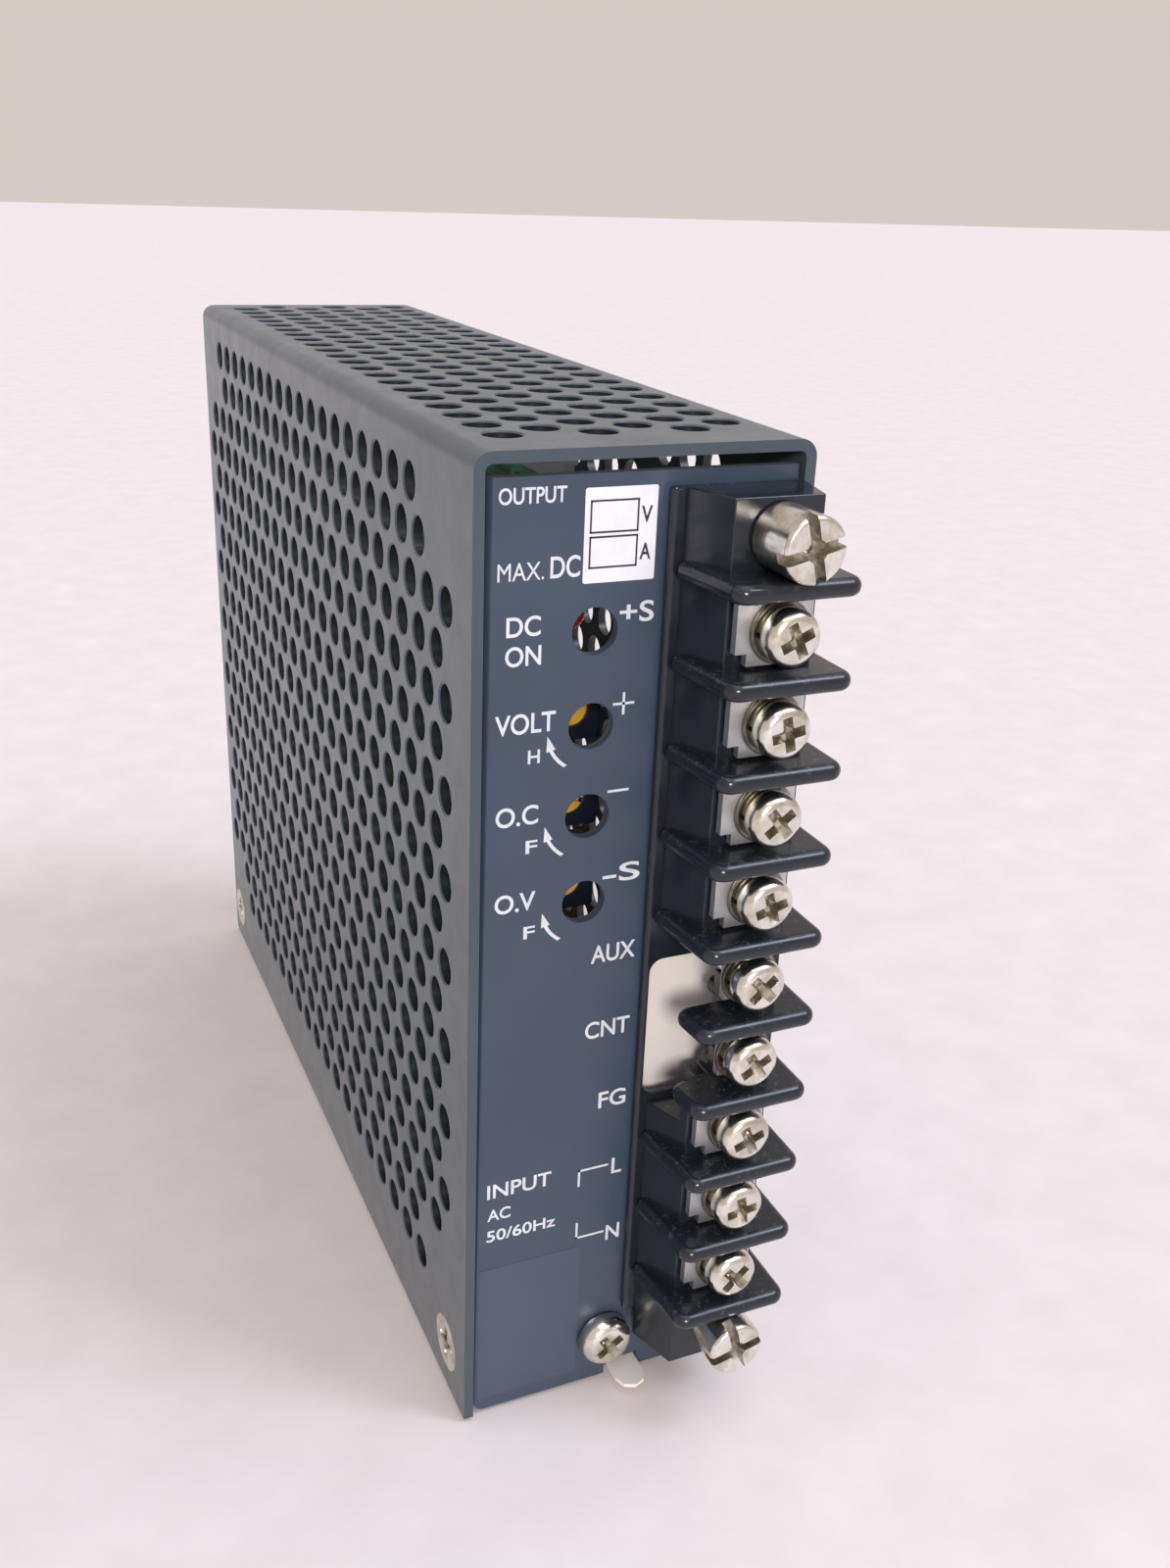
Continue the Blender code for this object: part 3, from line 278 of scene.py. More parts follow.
def blackPhenolic():
    # glossy moulded phenolic with settled dust on its upper faces
    material, tree, shader, place = startMaterial("blackPhenolic", IOR=1.55, Specular_IOR_Level=0.4)
    facing = addNode(tree, "ShaderNodeNewGeometry", {}, {}).outputs["Normal"]
    up = addNode(tree, "ShaderNodeSeparateXYZ", {}, {"Vector": facing}).outputs["Z"]
    specks = clouds(tree, place, [(0.56, grey(0.0)), (0.72, grey(1.0))], sizeMm=0.7, detail=6.0, rough=0.7)
    lying = addNode(tree, "ShaderNodeMath", {"operation": "MULTIPLY", "use_clamp": True}, {0: up, 1: specks})
    dusty = addNode(tree, "ShaderNodeMath", {"operation": "MULTIPLY", 1: phenolicLook["dustShare"]},
                    {0: lying.outputs["Value"]})
    mix = addNode(tree, "ShaderNodeMix", {"data_type": "RGBA"}, {"Factor": dusty.outputs["Value"]})
    mix.inputs[6].default_value = linear(phenolicLook["black"])  # sockets 6 and 7 are the two colours
    mix.inputs[7].default_value = linear(phenolicLook["dust"])
    tree.links.new(mix.outputs[2], shader.inputs["Base Color"])
    haze = clouds(tree, place, [(0.3, grey(phenolicLook["glossy"])), (0.7, grey(phenolicLook["hazy"]))],
                  sizeMm=3.0, detail=4.0)
    tree.links.new(haze, shader.inputs["Roughness"])
    unevenSkin(tree, shader, place, sizeMm=1.6, detail=2.0, depthMm=0.02, strength=0.5)
    return material


def platedMetal(name, bright, dull, sizeMm, smoothest, roughest):
    # plated, tinned or milled metal: bright, with duller patches and fine handling marks
    material, tree, shader, place = startMaterial(name, Metallic=1.0)
    tone = clouds(tree, place, [(0.35, linear(dull)), (0.62, linear(bright))], sizeMm, detail=4.0, rough=0.6)
    tree.links.new(tone, shader.inputs["Base Color"])
    worn = clouds(tree, place, [(0.3, grey(roughest)), (0.7, grey(smoothest))], sizeMm, detail=4.0, rough=0.6)
    tree.links.new(worn, shader.inputs["Roughness"])
    unevenSkin(tree, shader, place, sizeMm=0.35, detail=3.0, depthMm=0.012, strength=0.5)
    return material


def plainMoulding(name, base, shade, rough, sizeMm):
    # moulded, cast, printed or rolled material with a soft change of tone and a faint skin
    material, tree, shader, place = startMaterial(name, Roughness=rough, IOR=1.5)
    tone = clouds(tree, place, [(0.35, linear(shade)), (0.65, linear(base))], sizeMm, detail=4.0)
    tree.links.new(tone, shader.inputs["Base Color"])
    unevenSkin(tree, shader, place, sizeMm / 8, detail=2.0, depthMm=0.02, strength=0.4)
    return material


def redEpoxy():
    # tinted clear epoxy of an unlit indicator
    material, tree, shader, place = startMaterial(
        "redEpoxy", Roughness=0.12, IOR=1.52, Transmission_Weight=0.35, Coat_Weight=0.4)
    tone = clouds(tree, place, [(0.3, linear("#A01410")), (0.7, linear("#D2322A"))], sizeMm=1.5, detail=3.0)
    tree.links.new(tone, shader.inputs["Base Color"])
    return material


def circuitBoard():
    # green solder mask with paler tracks, drawn in the plane of the standing board
    material, tree, shader, place = startMaterial("circuitBoard", Roughness=0.42, IOR=1.5, Coat_Weight=0.2)
    split = addNode(tree, "ShaderNodeSeparateXYZ", {}, {"Vector": place}).outputs
    across = addNode(tree, "ShaderNodeCombineXYZ", {}, {"X": split["Y"], "Y": split["Z"], "Z": split["X"]})
    trackMm = 14
    tracks = addNode(tree, "ShaderNodeTexBrick",
                     {"Scale": 1 / (trackMm * mm), "Mortar Size": 0.03, "Color1": linear("#27824A"),
                      "Color2": linear("#1F6E3C"), "Mortar": linear("#4C9A62")}, {"Vector": across.outputs["Vector"]})
    tree.links.new(tracks.outputs["Color"], shader.inputs["Base Color"])
    return material


# name, colour, shade, dust
caseSteel = paintedSteel("caseSteel", "#424E58", "#3C4852", 0.12)
# darker paint on the walls of the cover's holes: painted shade inside the holes
holeWallShade = paintedSteel("holeWallShade", "#23282E", "#1C2025", 0.0)
panelSteel = paintedSteel("panelSteel", "#3B485A", "#364354", 0.08)
labelGrey = paintedSteel("labelGrey", "#434F62", "#3E4A5C", 0.08)
# name, bright and dull tone, size of the patches in mm, smoothest and roughest
nickel = platedMetal("nickelPlate", "#EDEBE4", "#C4BCA9", 2.2, 0.14, 0.28)
# darker grey plate for the washers round the terminal screws: painted shade under the heads
washerShade = platedMetal("shadedWasher", "#8F8B7C", "#5F5B50", 1.6, 0.22, 0.4)
# darker, duller plate on the faces cut for cross recesses and slots: painted shade in the hollows
recess = platedMetal("recessShade", "#CFCABD", "#8F897B", 0.9, 0.24, 0.4)
tinLead = platedMetal("solderTin", "#D6D8DA", "#A9ACB0", 1.5, 0.14, 0.3)
tin = platedMetal("tinPlate", "#CDCED0", "#B6B8BB", 3.0, 0.36, 0.5)
aluminium = platedMetal("milledAluminium", "#D0D2D4", "#BFC1C4", 4.0, 0.3, 0.42)
# name, colour, shade, roughness, size of the clouds in mm
ivory = plainMoulding("ivoryFilm", "#F6F0EC", "#EEE7E3", 0.55, 6.0)
yellow = plainMoulding("yellowNylon", "#DDB02E", "#C79A22", 0.45, 1.5)
navy = plainMoulding("navyMoulding", "#141A2A", "#101522", 0.4, 2.0)
blackEpoxy = plainMoulding("blackEpoxy", "#1E1E20", "#18181A", 0.5, 3.0)
ferrite = plainMoulding("sinteredFerrite", "#34343A", "#2B2B30", 0.6, 2.0)
windingTape = plainMoulding("windingTape", "#D9B13C", "#C79F2F", 0.5, 4.0)
sleeve = plainMoulding("shrinkSleeve", "#24243A", "#1D1D30", 0.3, 5.0)
whiteInk = plainMoulding("whiteInk", "#DADDE2", "#CBCFD6", 0.6, 1.2)
blackInk = plainMoulding("blackInk", "#2E3036", "#26282D", 0.6, 1.2)
whiteLabel = plainMoulding("whiteLabel", "#E9E9F2", "#DEDEE8", 0.5, 3.0)
glass = plainMoulding("fuseGlass", "#C9CCC8", "#BFC2BE", 0.2, 3.0)
phenolic = blackPhenolic()
redLens = redEpoxy()
board = circuitBoard()
print("materials made")


# perforated cover
cover = {
    "sheet": 1.0 * mm, "bend": 1.6 * mm, "bendSteps": 6,
    "pitch": 5.0 * mm, "hole": 3.5 * mm, "holeSides": 20, "holeLip": 0.15 * mm,
    "sideFirstBack": 6.6 * mm, "sideFirstDown": 5.5 * mm, "sideRows": 20, "fullRow": 21, "shortRow": 18,
    "topFirstBack": 6.9 * mm, "topColumns": 6, "topShift": 0.3 * mm,
    "screwBacks": (5.8 * mm, 109.1 * mm), "screwRise": 5.4 * mm,
    "sinkWide": 6.5 * mm, "sinkNarrow": 3.3 * mm, "sinkLong": 1.6 * mm, "sinkIn": 0.6 * mm,
}


def holeGrid(name, centre, axis, length, ends, alongCount, alongStep, acrossCount, acrossStep):
    # one round cutter, flared where it leaves the sheet so that the hole gets a lip, repeated in two directions
    cutter = startCylinder(name, centre, axis, length, cover["hole"], cover["holeSides"])
    # the hole walls take the darker paint, a painted shade; the lip takes the case's own paint
    paint(cutter, holeWallShade)
    cutter.data.materials.append(caseSteel)
    reach = 2 * cover["holeLip"]
    flare = 1 + 2 * reach / cover["hole"]  # at 45 degrees
    widen = (1, flare, flare) if axis == "x" else (flare, flare, 1)
    for end in ends:
        out = Vector(end)
        editFaces(cutter, lambda c, n: n.dot(out) > 0.9)
        bpy.ops.mesh.extrude_region_move(TRANSFORM_OT_translate={"value": reach * out})
        bpy.ops.transform.resize(value=widen, center_override=Vector(centre) + out * (length / 2 + reach))
        endEdit()
        for face in cutter.data.polygons:
            if (face.center - Vector(centre)).dot(out) > length / 2 + near:
                face.material_index = 1
    repeat(cutter, alongCount, alongStep)
    repeat(cutter, acrossCount, acrossStep)
    return cutter


def makeCover():
    shell = startCube("perforatedCover", coverLow, coverHigh)
    # the two long top edges are the bends of the sheet
    bevelEdges(shell, cover["bend"], cover["bendSteps"],
               lambda a, b: runs("y", a, b) and min(a.z, b.z) > top - near)
    # front, back and underside are open
    editFaces(shell, lambda c, n: abs(n.y) > 0.9 or n.z < -0.9)
    bpy.ops.mesh.delete(type="FACE")
    endEdit()
    work(shell, "SOLIDIFY", thickness=cover["sheet"], offset=-1.0, use_even_offset=True)
    paint(shell, caseSteel)
    pitch = cover["pitch"]
    rowStep = pitch * math.sqrt(3) / 2
    lip = cover["holeLip"]
    through = coverHigh.x - coverLow.x - 2 * lip
    sides, over = ((-1, 0, 0), (1, 0, 0)), ((0, 0, 1),)
    topDeep = 3 * cover["sheet"]
    firstBack = front + cover["sideFirstBack"]
    firstRow = top - cover["sideFirstDown"]
    # the first two and the last two rows are short
    lastPair = cover["sideRows"] - 2
    middleRows = (cover["sideRows"] - 4) // 2
    along = (0, pitch, 0)
    grids = []
    for odd in (0, 1):
        start = firstBack + odd * pitch / 2
        full = (0, start, firstRow - (2 + odd) * rowStep)
        grids.append(holeGrid("sideHoles", full, "x", through, sides, cover["fullRow"], along,
                              middleRows, (0, 0, -2 * rowStep)))
        short = (0, start + (2 - odd) * pitch, firstRow - odd * rowStep)
        grids.append(holeGrid("sideEndHoles", short, "x", through, sides, cover["shortRow"], along,
                              2, (0, 0, -lastPair * rowStep)))
        column = -(cover["topColumns"] - 1) / 2 * rowStep + cover["topShift"] + odd * rowStep
        middle = (column, front + cover["topFirstBack"] + odd * pitch / 2, top - lip - topDeep / 2)
        grids.append(holeGrid("topHoles", middle, "z", topDeep, over, cover["fullRow"], along,
                              cover["topColumns"] // 2, (2 * rowStep, 0, 0)))
    cutAway(shell, grids, "MANIFOLD")
    sinks = []
    for back in cover["screwBacks"]:
        for side in (-1, 1):
            centre = (side * (coverHigh.x - cover["sinkIn"]), front + back, cover["screwRise"])
            sink = startCone("countersink", centre, (0, -side * math.pi / 2, 0), cover["sinkLong"],
                             cover["sinkWide"], cover["sinkNarrow"])
            sinks.append(paint(sink, caseSteel))
    cutAway(shell, sinks, "MANIFOLD")
    fit(smooth(shell, angle=30), None, "painted_steel", "case", "cover")


makeCover()
print("cover perforated")


# front panel
panel = {
    "holes": 4, "holeLeft": 11.2 * mm, "holeTop": 15.5 * mm, "holePitch": 8.5 * mm, "hole": 4.2 * mm, "holeSides": 64,
    "windowLow": (2.6 * mm, 34.4 * mm), "windowHigh": (11.1 * mm, 50.2 * mm), "windowRound": 1.3 * mm, "windowSteps": 6,
    "edgeRound": 0.25 * mm, "footRound": 1.0 * mm, "footSteps": 5, "fold": 0.9 * mm, "foldSteps": 6,
    "notchLeft": 15.9 * mm, "notchWide": 3.8 * mm, "notchHigh": 2.0 * mm, "past": 2.0 * mm,
}
holeX = left + panel["holeLeft"]


def holeZ(number):
    return top - panel["holeTop"] - number * panel["holePitch"]


def windowTool(lowXZ, highXZ, lowY, highY, radius):
    # a block with rounded corners, to cut a window along Y
    tool = startCube("window", (lowXZ[0], lowY, lowXZ[1]), (highXZ[0], highY, highXZ[1]))
    bevelEdges(tool, radius, panel["windowSteps"], lambda a, b: runs("y", a, b))
    return tool


def makePanel():
    plate = startCube("frontPanel", panelLow, panelHigh)
    bevelEdges(plate, panel["footRound"], panel["footSteps"],
               lambda a, b: runs("y", a, b) and max(a.z, b.z) < panelLow.z + near)
    # the left edge is folded back round a bend
    bevelEdges(plate, panel["fold"], panel["foldSteps"], lambda a, b: uprightAt(a, b, panelLow.x, panelLow.y))
    past = panel["past"]
    cutters = []
    for number in range(panel["holes"]):
        centre = (holeX, panelLow.y, holeZ(number))
        cutters.append(startCylinder("roundHole", centre, "y", 3 * past, panel["hole"], panel["holeSides"]))
    cutters.append(windowTool(panel["windowLow"], panel["windowHigh"], panelLow.y - past, panelHigh.y + past,
                              panel["windowRound"]))
    notch = Vector((left + panel["notchLeft"], panelLow.y - past, -past))
    size = Vector((panel["notchWide"], 3 * past, past + panel["notchHigh"]))
    cutters.append(startCube("footNotch", notch, notch + size))
    cutAway(plate, cutters)
    roundEdges(plate, panel["edgeRound"])
    fit(smooth(plate), panelSteel, "painted_steel", "case", "front_panel")


makePanel()
print("panel made")


# terminal block
block = {
    "count": 9, "pitch": 8.17 * mm, "firstDown": 14.4 * mm, "deckOut": 5.7 * mm, "bare": (5, 6),
    "barrierWide": 12.0 * mm, "thick": 1.7 * mm, "frontCorner": 1.3 * mm, "rootCorner": 1.6 * mm, "cornerSteps": 6,
    "lip": 0.8 * mm, "lipSteps": 5, "rootLean": 0.95 * mm, "rightBack": 0.8 * mm,
    "screwInset": 6.0 * mm, "shankHole": 3.6 * mm, "shankSides": 32, "shankLong": 12.0 * mm,
    "deckLeft": 1.6 * mm, "deckRight": 2.0 * mm, "faceLeft": 0.2 * mm, "bodyRound": 0.3 * mm,
    "baseThick": 0.8 * mm, "baseBottom": 9.2 * mm, "baseRound": 0.25 * mm, "baseSlope": 0.45 * mm, "slopeSteps": 4,
    "windowLow": (2.45 * mm, 35.7 * mm), "windowHigh": (11.1 * mm, 50.6 * mm), "windowRound": 1.3 * mm,
    "wall": 0.9 * mm, "reliefOut": 4.8 * mm, "reliefDrop": 3.3 * mm, "footWall": 2.3 * mm,
    "bayReach": 2.0 * mm, "bayDeep": 1.9 * mm, "stepOut": 3.8 * mm,
    # how far the cutters reach past what they cut
    "leftPast": 4.0 * mm, "backPast": 1.0 * mm, "frontPast": 2.0 * mm, "gapPast": 3.0 * mm,
}
terminals = range(1, block["count"] + 1)
halfThick = block["thick"] / 2
barrierLeft = blockHigh.x - block["barrierWide"]
screwX = barrierLeft + block["screwInset"]
deckY = front - block["deckOut"]
baseY = blockHigh.y - block["baseThick"]
wallX = screwX - block["wall"]
reliefY = front - block["reliefOut"]


def terminalZ(number):
    return top - block["firstDown"] - block["pitch"] * (number - 1)


def barrierZ(number):
    return terminalZ(number) + block["pitch"] / 2


def bareBays():
    # the body is cut back at the two bare places, so that the sheet behind shows
    first, last = block["bare"]
    outer = barrierLeft - block["leftPast"]
    back = baseY + block["backPast"]
    ceiling = barrierZ(first) - halfThick
    floor = barrierZ(last + 1) - halfThick
    tools = [startCube("relief", (outer, reliefY, floor), (wallX, back, ceiling))]
    tools.append(startCube("reliefFoot", (outer, reliefY, floor - block["reliefDrop"]),
                           (screwX - block["footWall"], back, floor + halfThick)))
    tools.append(startCube("frontStep", (outer, deckY - block["frontPast"], floor + block["thick"]),
                           (wallX, front - block["stepOut"], ceiling)))
    tools.append(startCube("bay", (outer, baseY - block["bayDeep"], floor + halfThick),
                           (screwX + block["bayReach"], back, ceiling)))
    return tools


def makeBody():
    # slanted body: a cube whose front face is drawn in at both sides
    low = Vector((barrierLeft - block["faceLeft"], deckY, blockLow.z))
    high = Vector((blockHigh.x - block["rightBack"], baseY, blockHigh.z))
    body = startCube("blockBody", low, high)
    deckLow, deckHigh = barrierLeft + block["deckLeft"], blockHigh.x - block["deckRight"]
    share = (deckHigh - deckLow) / (high.x - low.x)
    fixed = (deckLow - low.x * share) / (1 - share)  # the place that the resize leaves where it is
    editFaces(body, lambda c, n: n.y < -0.9)
    bpy.ops.transform.resize(value=(share, 1, 1), center_override=(fixed, deckY, 0))
    endEdit()
    lowest = (screwX, deckY, terminalZ(block["count"]))
    holes = startCylinder("shankHoles", lowest, "y", block["shankLong"], block["shankHole"], block["shankSides"])
    repeat(holes, block["count"], (0, 0, block["pitch"]))
    cutAway(body, [holes] + bareBays())
    roundEdges(body, block["bodyRound"], steps=3, angle=30)
    return body


def makeBase():
    # the thin base, whose left edge slopes back to the panel
    base = startCube("baseEdge", (blockLow.x, baseY, block["baseBottom"]),
                     (blockHigh.x - block["rightBack"], blockHigh.y, blockHigh.z))
    bevelEdges(base, block["baseSlope"], block["slopeSteps"], lambda a, b: uprightAt(a, b, blockLow.x, baseY))
    cutAway(base, [windowTool(block["windowLow"], block["windowHigh"], baseY - block["backPast"],
                              blockHigh.y + block["backPast"], block["windowRound"])])
    roundEdges(base, block["baseRound"])
    return base


def makeBarrier():
    # one barrier: its left edge leans and its front corners are round
    barrier = startCube("barrier", (barrierLeft, blockLow.y, barrierZ(1) - halfThick),
                        (blockHigh.x, baseY, barrierZ(1) + halfThick))
    editEdges(barrier, lambda a, b: runs("z", a, b) and a.x < barrierLeft + near and a.y > baseY - near)
    bpy.ops.transform.translate(value=(-block["rootLean"], 0, 0))
    endEdit()
    bevelEdges(barrier, block["frontCorner"], block["cornerSteps"],
               lambda a, b: runs("z", a, b) and max(a.y, b.y) < deckY)
    return barrier


def makeBlock():
    parts = [makeBody(), makeBase()]
    barrier = makeBarrier()
    last = block["bare"][1]
    for number in range(1, block["count"] + 2):
        height = barrierZ(number)
        plate = copyTo(barrier, "barrierPlate", (0, 0, height - barrierZ(1)))
        if number in (last, last + 1):
            # freed from the base, with a round corner at the back
            gapLow = (blockLow.x - block["frontPast"], reliefY, height - block["gapPast"])
            gapHigh = (wallX, blockHigh.y + block["backPast"], height + block["gapPast"])
            cutAway(plate, [startCube("barrierGap", gapLow, gapHigh)])
            bevelEdges(plate, block["rootCorner"], block["cornerSteps"], lambda a, b: runs("z", a, b)
                       and max(a.x, b.x) < wallX - mm and abs(a.y - reliefY) < near)
        roundEdges(plate, block["lip"], steps=block["lipSteps"])
        parts.append(plate)
    bpy.data.objects.remove(barrier, do_unlink=True)
    fit(smooth(joinAll("barrierBlock", parts), angle=40), phenolic, "block_plastic", "case", "terminal_block")


makeBlock()
print("terminal block made")


# screws and posts
fastener = {
    "sides": 48, "domeSteps": 7, "rim": 0.12 * mm, "rimAngle": 45, "shank": 2.9 * mm, "shankSides": 24,
    "turns": (25, 12, 38, 17, 42, 30, 21, 8, 44), "panelTurn": 35, "postTurn": 14,
    "cross": 4.4 * mm, "crossWide": 1.3 * mm, "crossDeep": 1.2 * mm, "crossPit": 1.5 * mm, "crossNarrow": 0.45,
    "pitDeep": 1.3, "pitTaper": 0.6, "pitSides": 32,
    "termHead": 5.0 * mm, "termDome": 1.0 * mm, "termGap": 0.05 * mm, "panelDome": 1.35 * mm, "seatGap": 0.3 * mm,
    "postSlot": 1.0 * mm, "postDeep": 1.5 * mm, "postPit": 1.9 * mm, "postNarrow": 0.95,
    "postRim": 0.45 * mm, "postRound": 0.22 * mm,
    "flatWasher": 0.45 * mm, "springWasher": 4.9 * mm, "springGap": 0.4 * mm,
    "washerBore": 3.4 * mm, "boreSides": 32, "boreLong": 8.0 * mm, "washerRim": 0.1 * mm,
    "sinkHead": 1.0 * mm, "sinkCross": (3.6 * mm, 0.9 * mm), "sinkDeep": 0.7 * mm, "sinkShank": 2.7 * mm,
    "sinkRim": 0.08 * mm,
}


def frontMiddle(low, high):
    return Vector(((low.x + high.x) / 2, low.y, (low.z + high.z) / 2))


def crossTool(centre, span, wide, deep, pit, degrees, narrow):
    # two crossed bars that narrow towards the bottom of the recess, and the pit where they meet
    tools = []
    for along, up in ((span, wide), (wide, span)):
        half = Vector((along / 2, deep, up / 2))
        bar = startCube("bar", centre - half, centre + half)
        editFaces(bar, lambda c, n: n.y > 0.9)
        bpy.ops.transform.resize(value=(narrow, 1, narrow), center_override=(centre.x, centre.y + deep, centre.z))
        endEdit()
        tools.append(turnAbout(bar, centre, "Y", degrees))
    taper = fastener["pitTaper"]
    tools.append(startCone("pit", centre, (-math.pi / 2, 0, 0), 2 * fastener["pitDeep"] * deep,
                           (1 + taper) * pit, (1 - taper) * pit, fastener["pitSides"]))
    # the recess faces take the darker plate: painted shade
    return [paint(tool, recess) for tool in tools]


def headOn(name, centre, seat, wide, dome):
    head = startCylinder(name, (centre.x, (centre.y + seat) / 2, centre.z), "y", seat - centre.y, wide,
                         fastener["sides"])
    bevelEdges(head, dome, fastener["domeSteps"], lambda a, b: max(a.y, b.y) < centre.y + near)
    return paint(head, nickel)


def crossHead(name, centre, seat, wide, dome, degrees):
    head = headOn(name, centre, seat, wide, dome)
    cutAway(head, crossTool(centre, fastener["cross"], fastener["crossWide"], fastener["crossDeep"],
                            fastener["crossPit"], degrees, fastener["crossNarrow"]))
    roundEdges(head, fastener["rim"], angle=fastener["rimAngle"])
    return head


def shankFrom(centre, start, end):
    shank = startCylinder("shank", (centre.x, (start + end) / 2, centre.z), "y", end - start, fastener["shank"],
                          fastener["shankSides"])
    return paint(shank, nickel)


def makeTerminalScrew(number):
    low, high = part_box("terminal_screw_%d" % number)
    centre = Vector((screwX, low.y, terminalZ(number)))
    washerLow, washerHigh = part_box("terminal_washer_%d" % number)
    seat = washerLow.y - fastener["termGap"]
    head = crossHead("terminalHead", centre, seat, fastener["termHead"], fastener["termDome"],
                     fastener["turns"][number - 1])
    screw = smooth(joinAll("terminalScrew%d" % number, [head, shankFrom(centre, seat, high.y)]), angle=40)
    fit(screw, None, "nickel_steel", "screw_%d" % number, "terminal_screw_%d" % number)
    # split spring washer over a flat one
    flatThick = fastener["flatWasher"]
    flat = startCylinder("flatWasher", (centre.x, washerHigh.y - flatThick / 2, centre.z), "y",
                         flatThick, washerHigh.z - washerLow.z, fastener["sides"])
    springThick = washerHigh.y - washerLow.y - flatThick
    spring = startCylinder("springWasher", (centre.x, washerLow.y + springThick / 2, centre.z), "y",
                           springThick, fastener["springWasher"], fastener["sides"])
    half = fastener["springGap"] / 2
    cutAway(spring, [startCube("split", (centre.x - fastener["springWasher"], washerLow.y - mm, centre.z - half),
                               (centre.x, washerLow.y + springThick, centre.z + half))])
    for ring in (flat, spring):
        cutAway(ring, [startCylinder("bore", (centre.x, washerLow.y, centre.z), "y", fastener["boreLong"],
                                     fastener["washerBore"], fastener["boreSides"])])
        roundEdges(ring, fastener["washerRim"], angle=fastener["rimAngle"])
    washer = smooth(joinAll("terminalWasher%d" % number, [flat, spring]), angle=40)
    # the washers take the darker grey plate: painted shade under the head
    fit(washer, washerShade, "nickel_steel", "washer_%d" % number, "terminal_washer_%d" % number)


def makePost(node, name):
    low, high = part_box(node)
    centre = frontMiddle(low, high)
    wide = high.z - low.z
    seat = deckY - fastener["seatGap"]
    post = headOn(name, centre, seat, wide, fastener["postRim"])
    cutAway(post, crossTool(centre, 2 * wide, fastener["postSlot"], fastener["postDeep"], fastener["postPit"],
                            fastener["postTurn"], fastener["postNarrow"]))
    roundEdges(post, fastener["postRound"], steps=3, angle=fastener["rimAngle"])
    post = smooth(joinAll(name, [post, shankFrom(centre, seat, high.y)]), angle=40)
    fit(post, None, "nickel_steel", "case", node)


def makePanelScrew():
    low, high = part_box("panel_screw")
    centre = frontMiddle(low, high)
    seat = panelLow.y - fastener["seatGap"]
    head = crossHead("panelHead", centre, seat, high.z - low.z, fastener["panelDome"], fastener["panelTurn"])
    screw = smooth(joinAll("panelScrew", [head, shankFrom(centre, seat, high.y)]), angle=40)
    fit(screw, None, "nickel_steel", "case", "panel_screw")


def makeCoverScrew(node, name):
    low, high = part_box(node)
    side = -1 if low.x < 0 else 1
    face, inner = (low.x, high.x) if side < 0 else (high.x, low.x)
    centre = Vector((face, (low.y + high.y) / 2, (low.z + high.z) / 2))
    deep, shankWide = fastener["sinkHead"], fastener["sinkShank"]
    head = startCone("coneHead", centre - Vector((side * deep / 2, 0, 0)), (0, -side * math.pi / 2, 0), deep,
                     high.z - low.z, shankWide)
    paint(head, nickel)
    bars = []
    for along, up in (fastener["sinkCross"], fastener["sinkCross"][::-1]):
        half = Vector((fastener["sinkDeep"], along / 2, up / 2))
        # the cross recess takes the darker plate: painted shade
        bars.append(paint(startCube("bar", centre - half, centre + half), recess))
    cutAway(head, bars)
    roundEdges(head, fastener["sinkRim"], angle=fastener["rimAngle"])
    start = face - side * 0.9 * deep
    shank = startCylinder("shank", ((start + inner) / 2, centre.y, centre.z), "x", abs(start - inner), shankWide,
                          fastener["shankSides"])
    fit(smooth(joinAll(name, [head, paint(shank, nickel)]), angle=40), None, "nickel_steel", "case", node)


for number in terminals:
    makeTerminalScrew(number)
makePost("cover_post_top", "coverPostTop")
makePost("cover_post_bottom", "coverPostBottom")
makePanelScrew()
for place in ("left_front", "left_rear", "right_front", "right_rear"):
    makeCoverScrew("cover_screw_" + place, "coverScrew_" + place)
print("fasteners made")


# indicator and trimmers
trimmer = {
    "slotWide": 0.5 * mm, "slotDeep": 0.6 * mm, "bodyRound": 0.3 * mm, "rotorRound": 0.12 * mm, "gap": 0.08 * mm,
    "turns": (35, -20, 10), "sides": 64,
}
indicator = {
    "lens": 3.0 * mm, "dome": 1.45 * mm, "domeSteps": 10, "flange": 3.8 * mm, "flangeLong": 1.0 * mm,
    "flangeRound": 0.1 * mm, "holder": 2.1 * mm,
}


def makeTrimmer(number):
    low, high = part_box("trimmer_body_%d" % number)
    housing = startCube("trimmerBody%d" % number, low, high)
    rotorLow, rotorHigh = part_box("trimmer_rotor_%d" % number)
    centre = (rotorLow + rotorHigh) / 2
    wide = rotorHigh.z - rotorLow.z
    deep = 2 * (rotorHigh.y - low.y + trimmer["gap"])
    cutAway(housing, [startCylinder("bore", (centre.x, low.y, centre.z), "y", deep, wide + 2 * trimmer["gap"],
                                    trimmer["sides"])])
    roundEdges(housing, trimmer["bodyRound"])
    fit(smooth(housing), navy, "blue_plastic", "case", "trimmer_body_%d" % number)
    rotor = startCylinder("trimmerRotor%d" % number, centre, "y", rotorHigh.y - rotorLow.y, wide, trimmer["sides"])
    half = trimmer["slotWide"] / 2
    slot = startCube("slot", (centre.x - wide, rotorLow.y - mm, centre.z - half),
                     (centre.x + wide, rotorLow.y + trimmer["slotDeep"], centre.z + half))
    cutAway(rotor, [turnAbout(slot, centre, "Y", trimmer["turns"][number - 1])])
    roundEdges(rotor, trimmer["rotorRound"])
    fit(smooth(rotor), yellow, "yellow_plastic", "rotor_%d" % number, "trimmer_rotor_%d" % number)


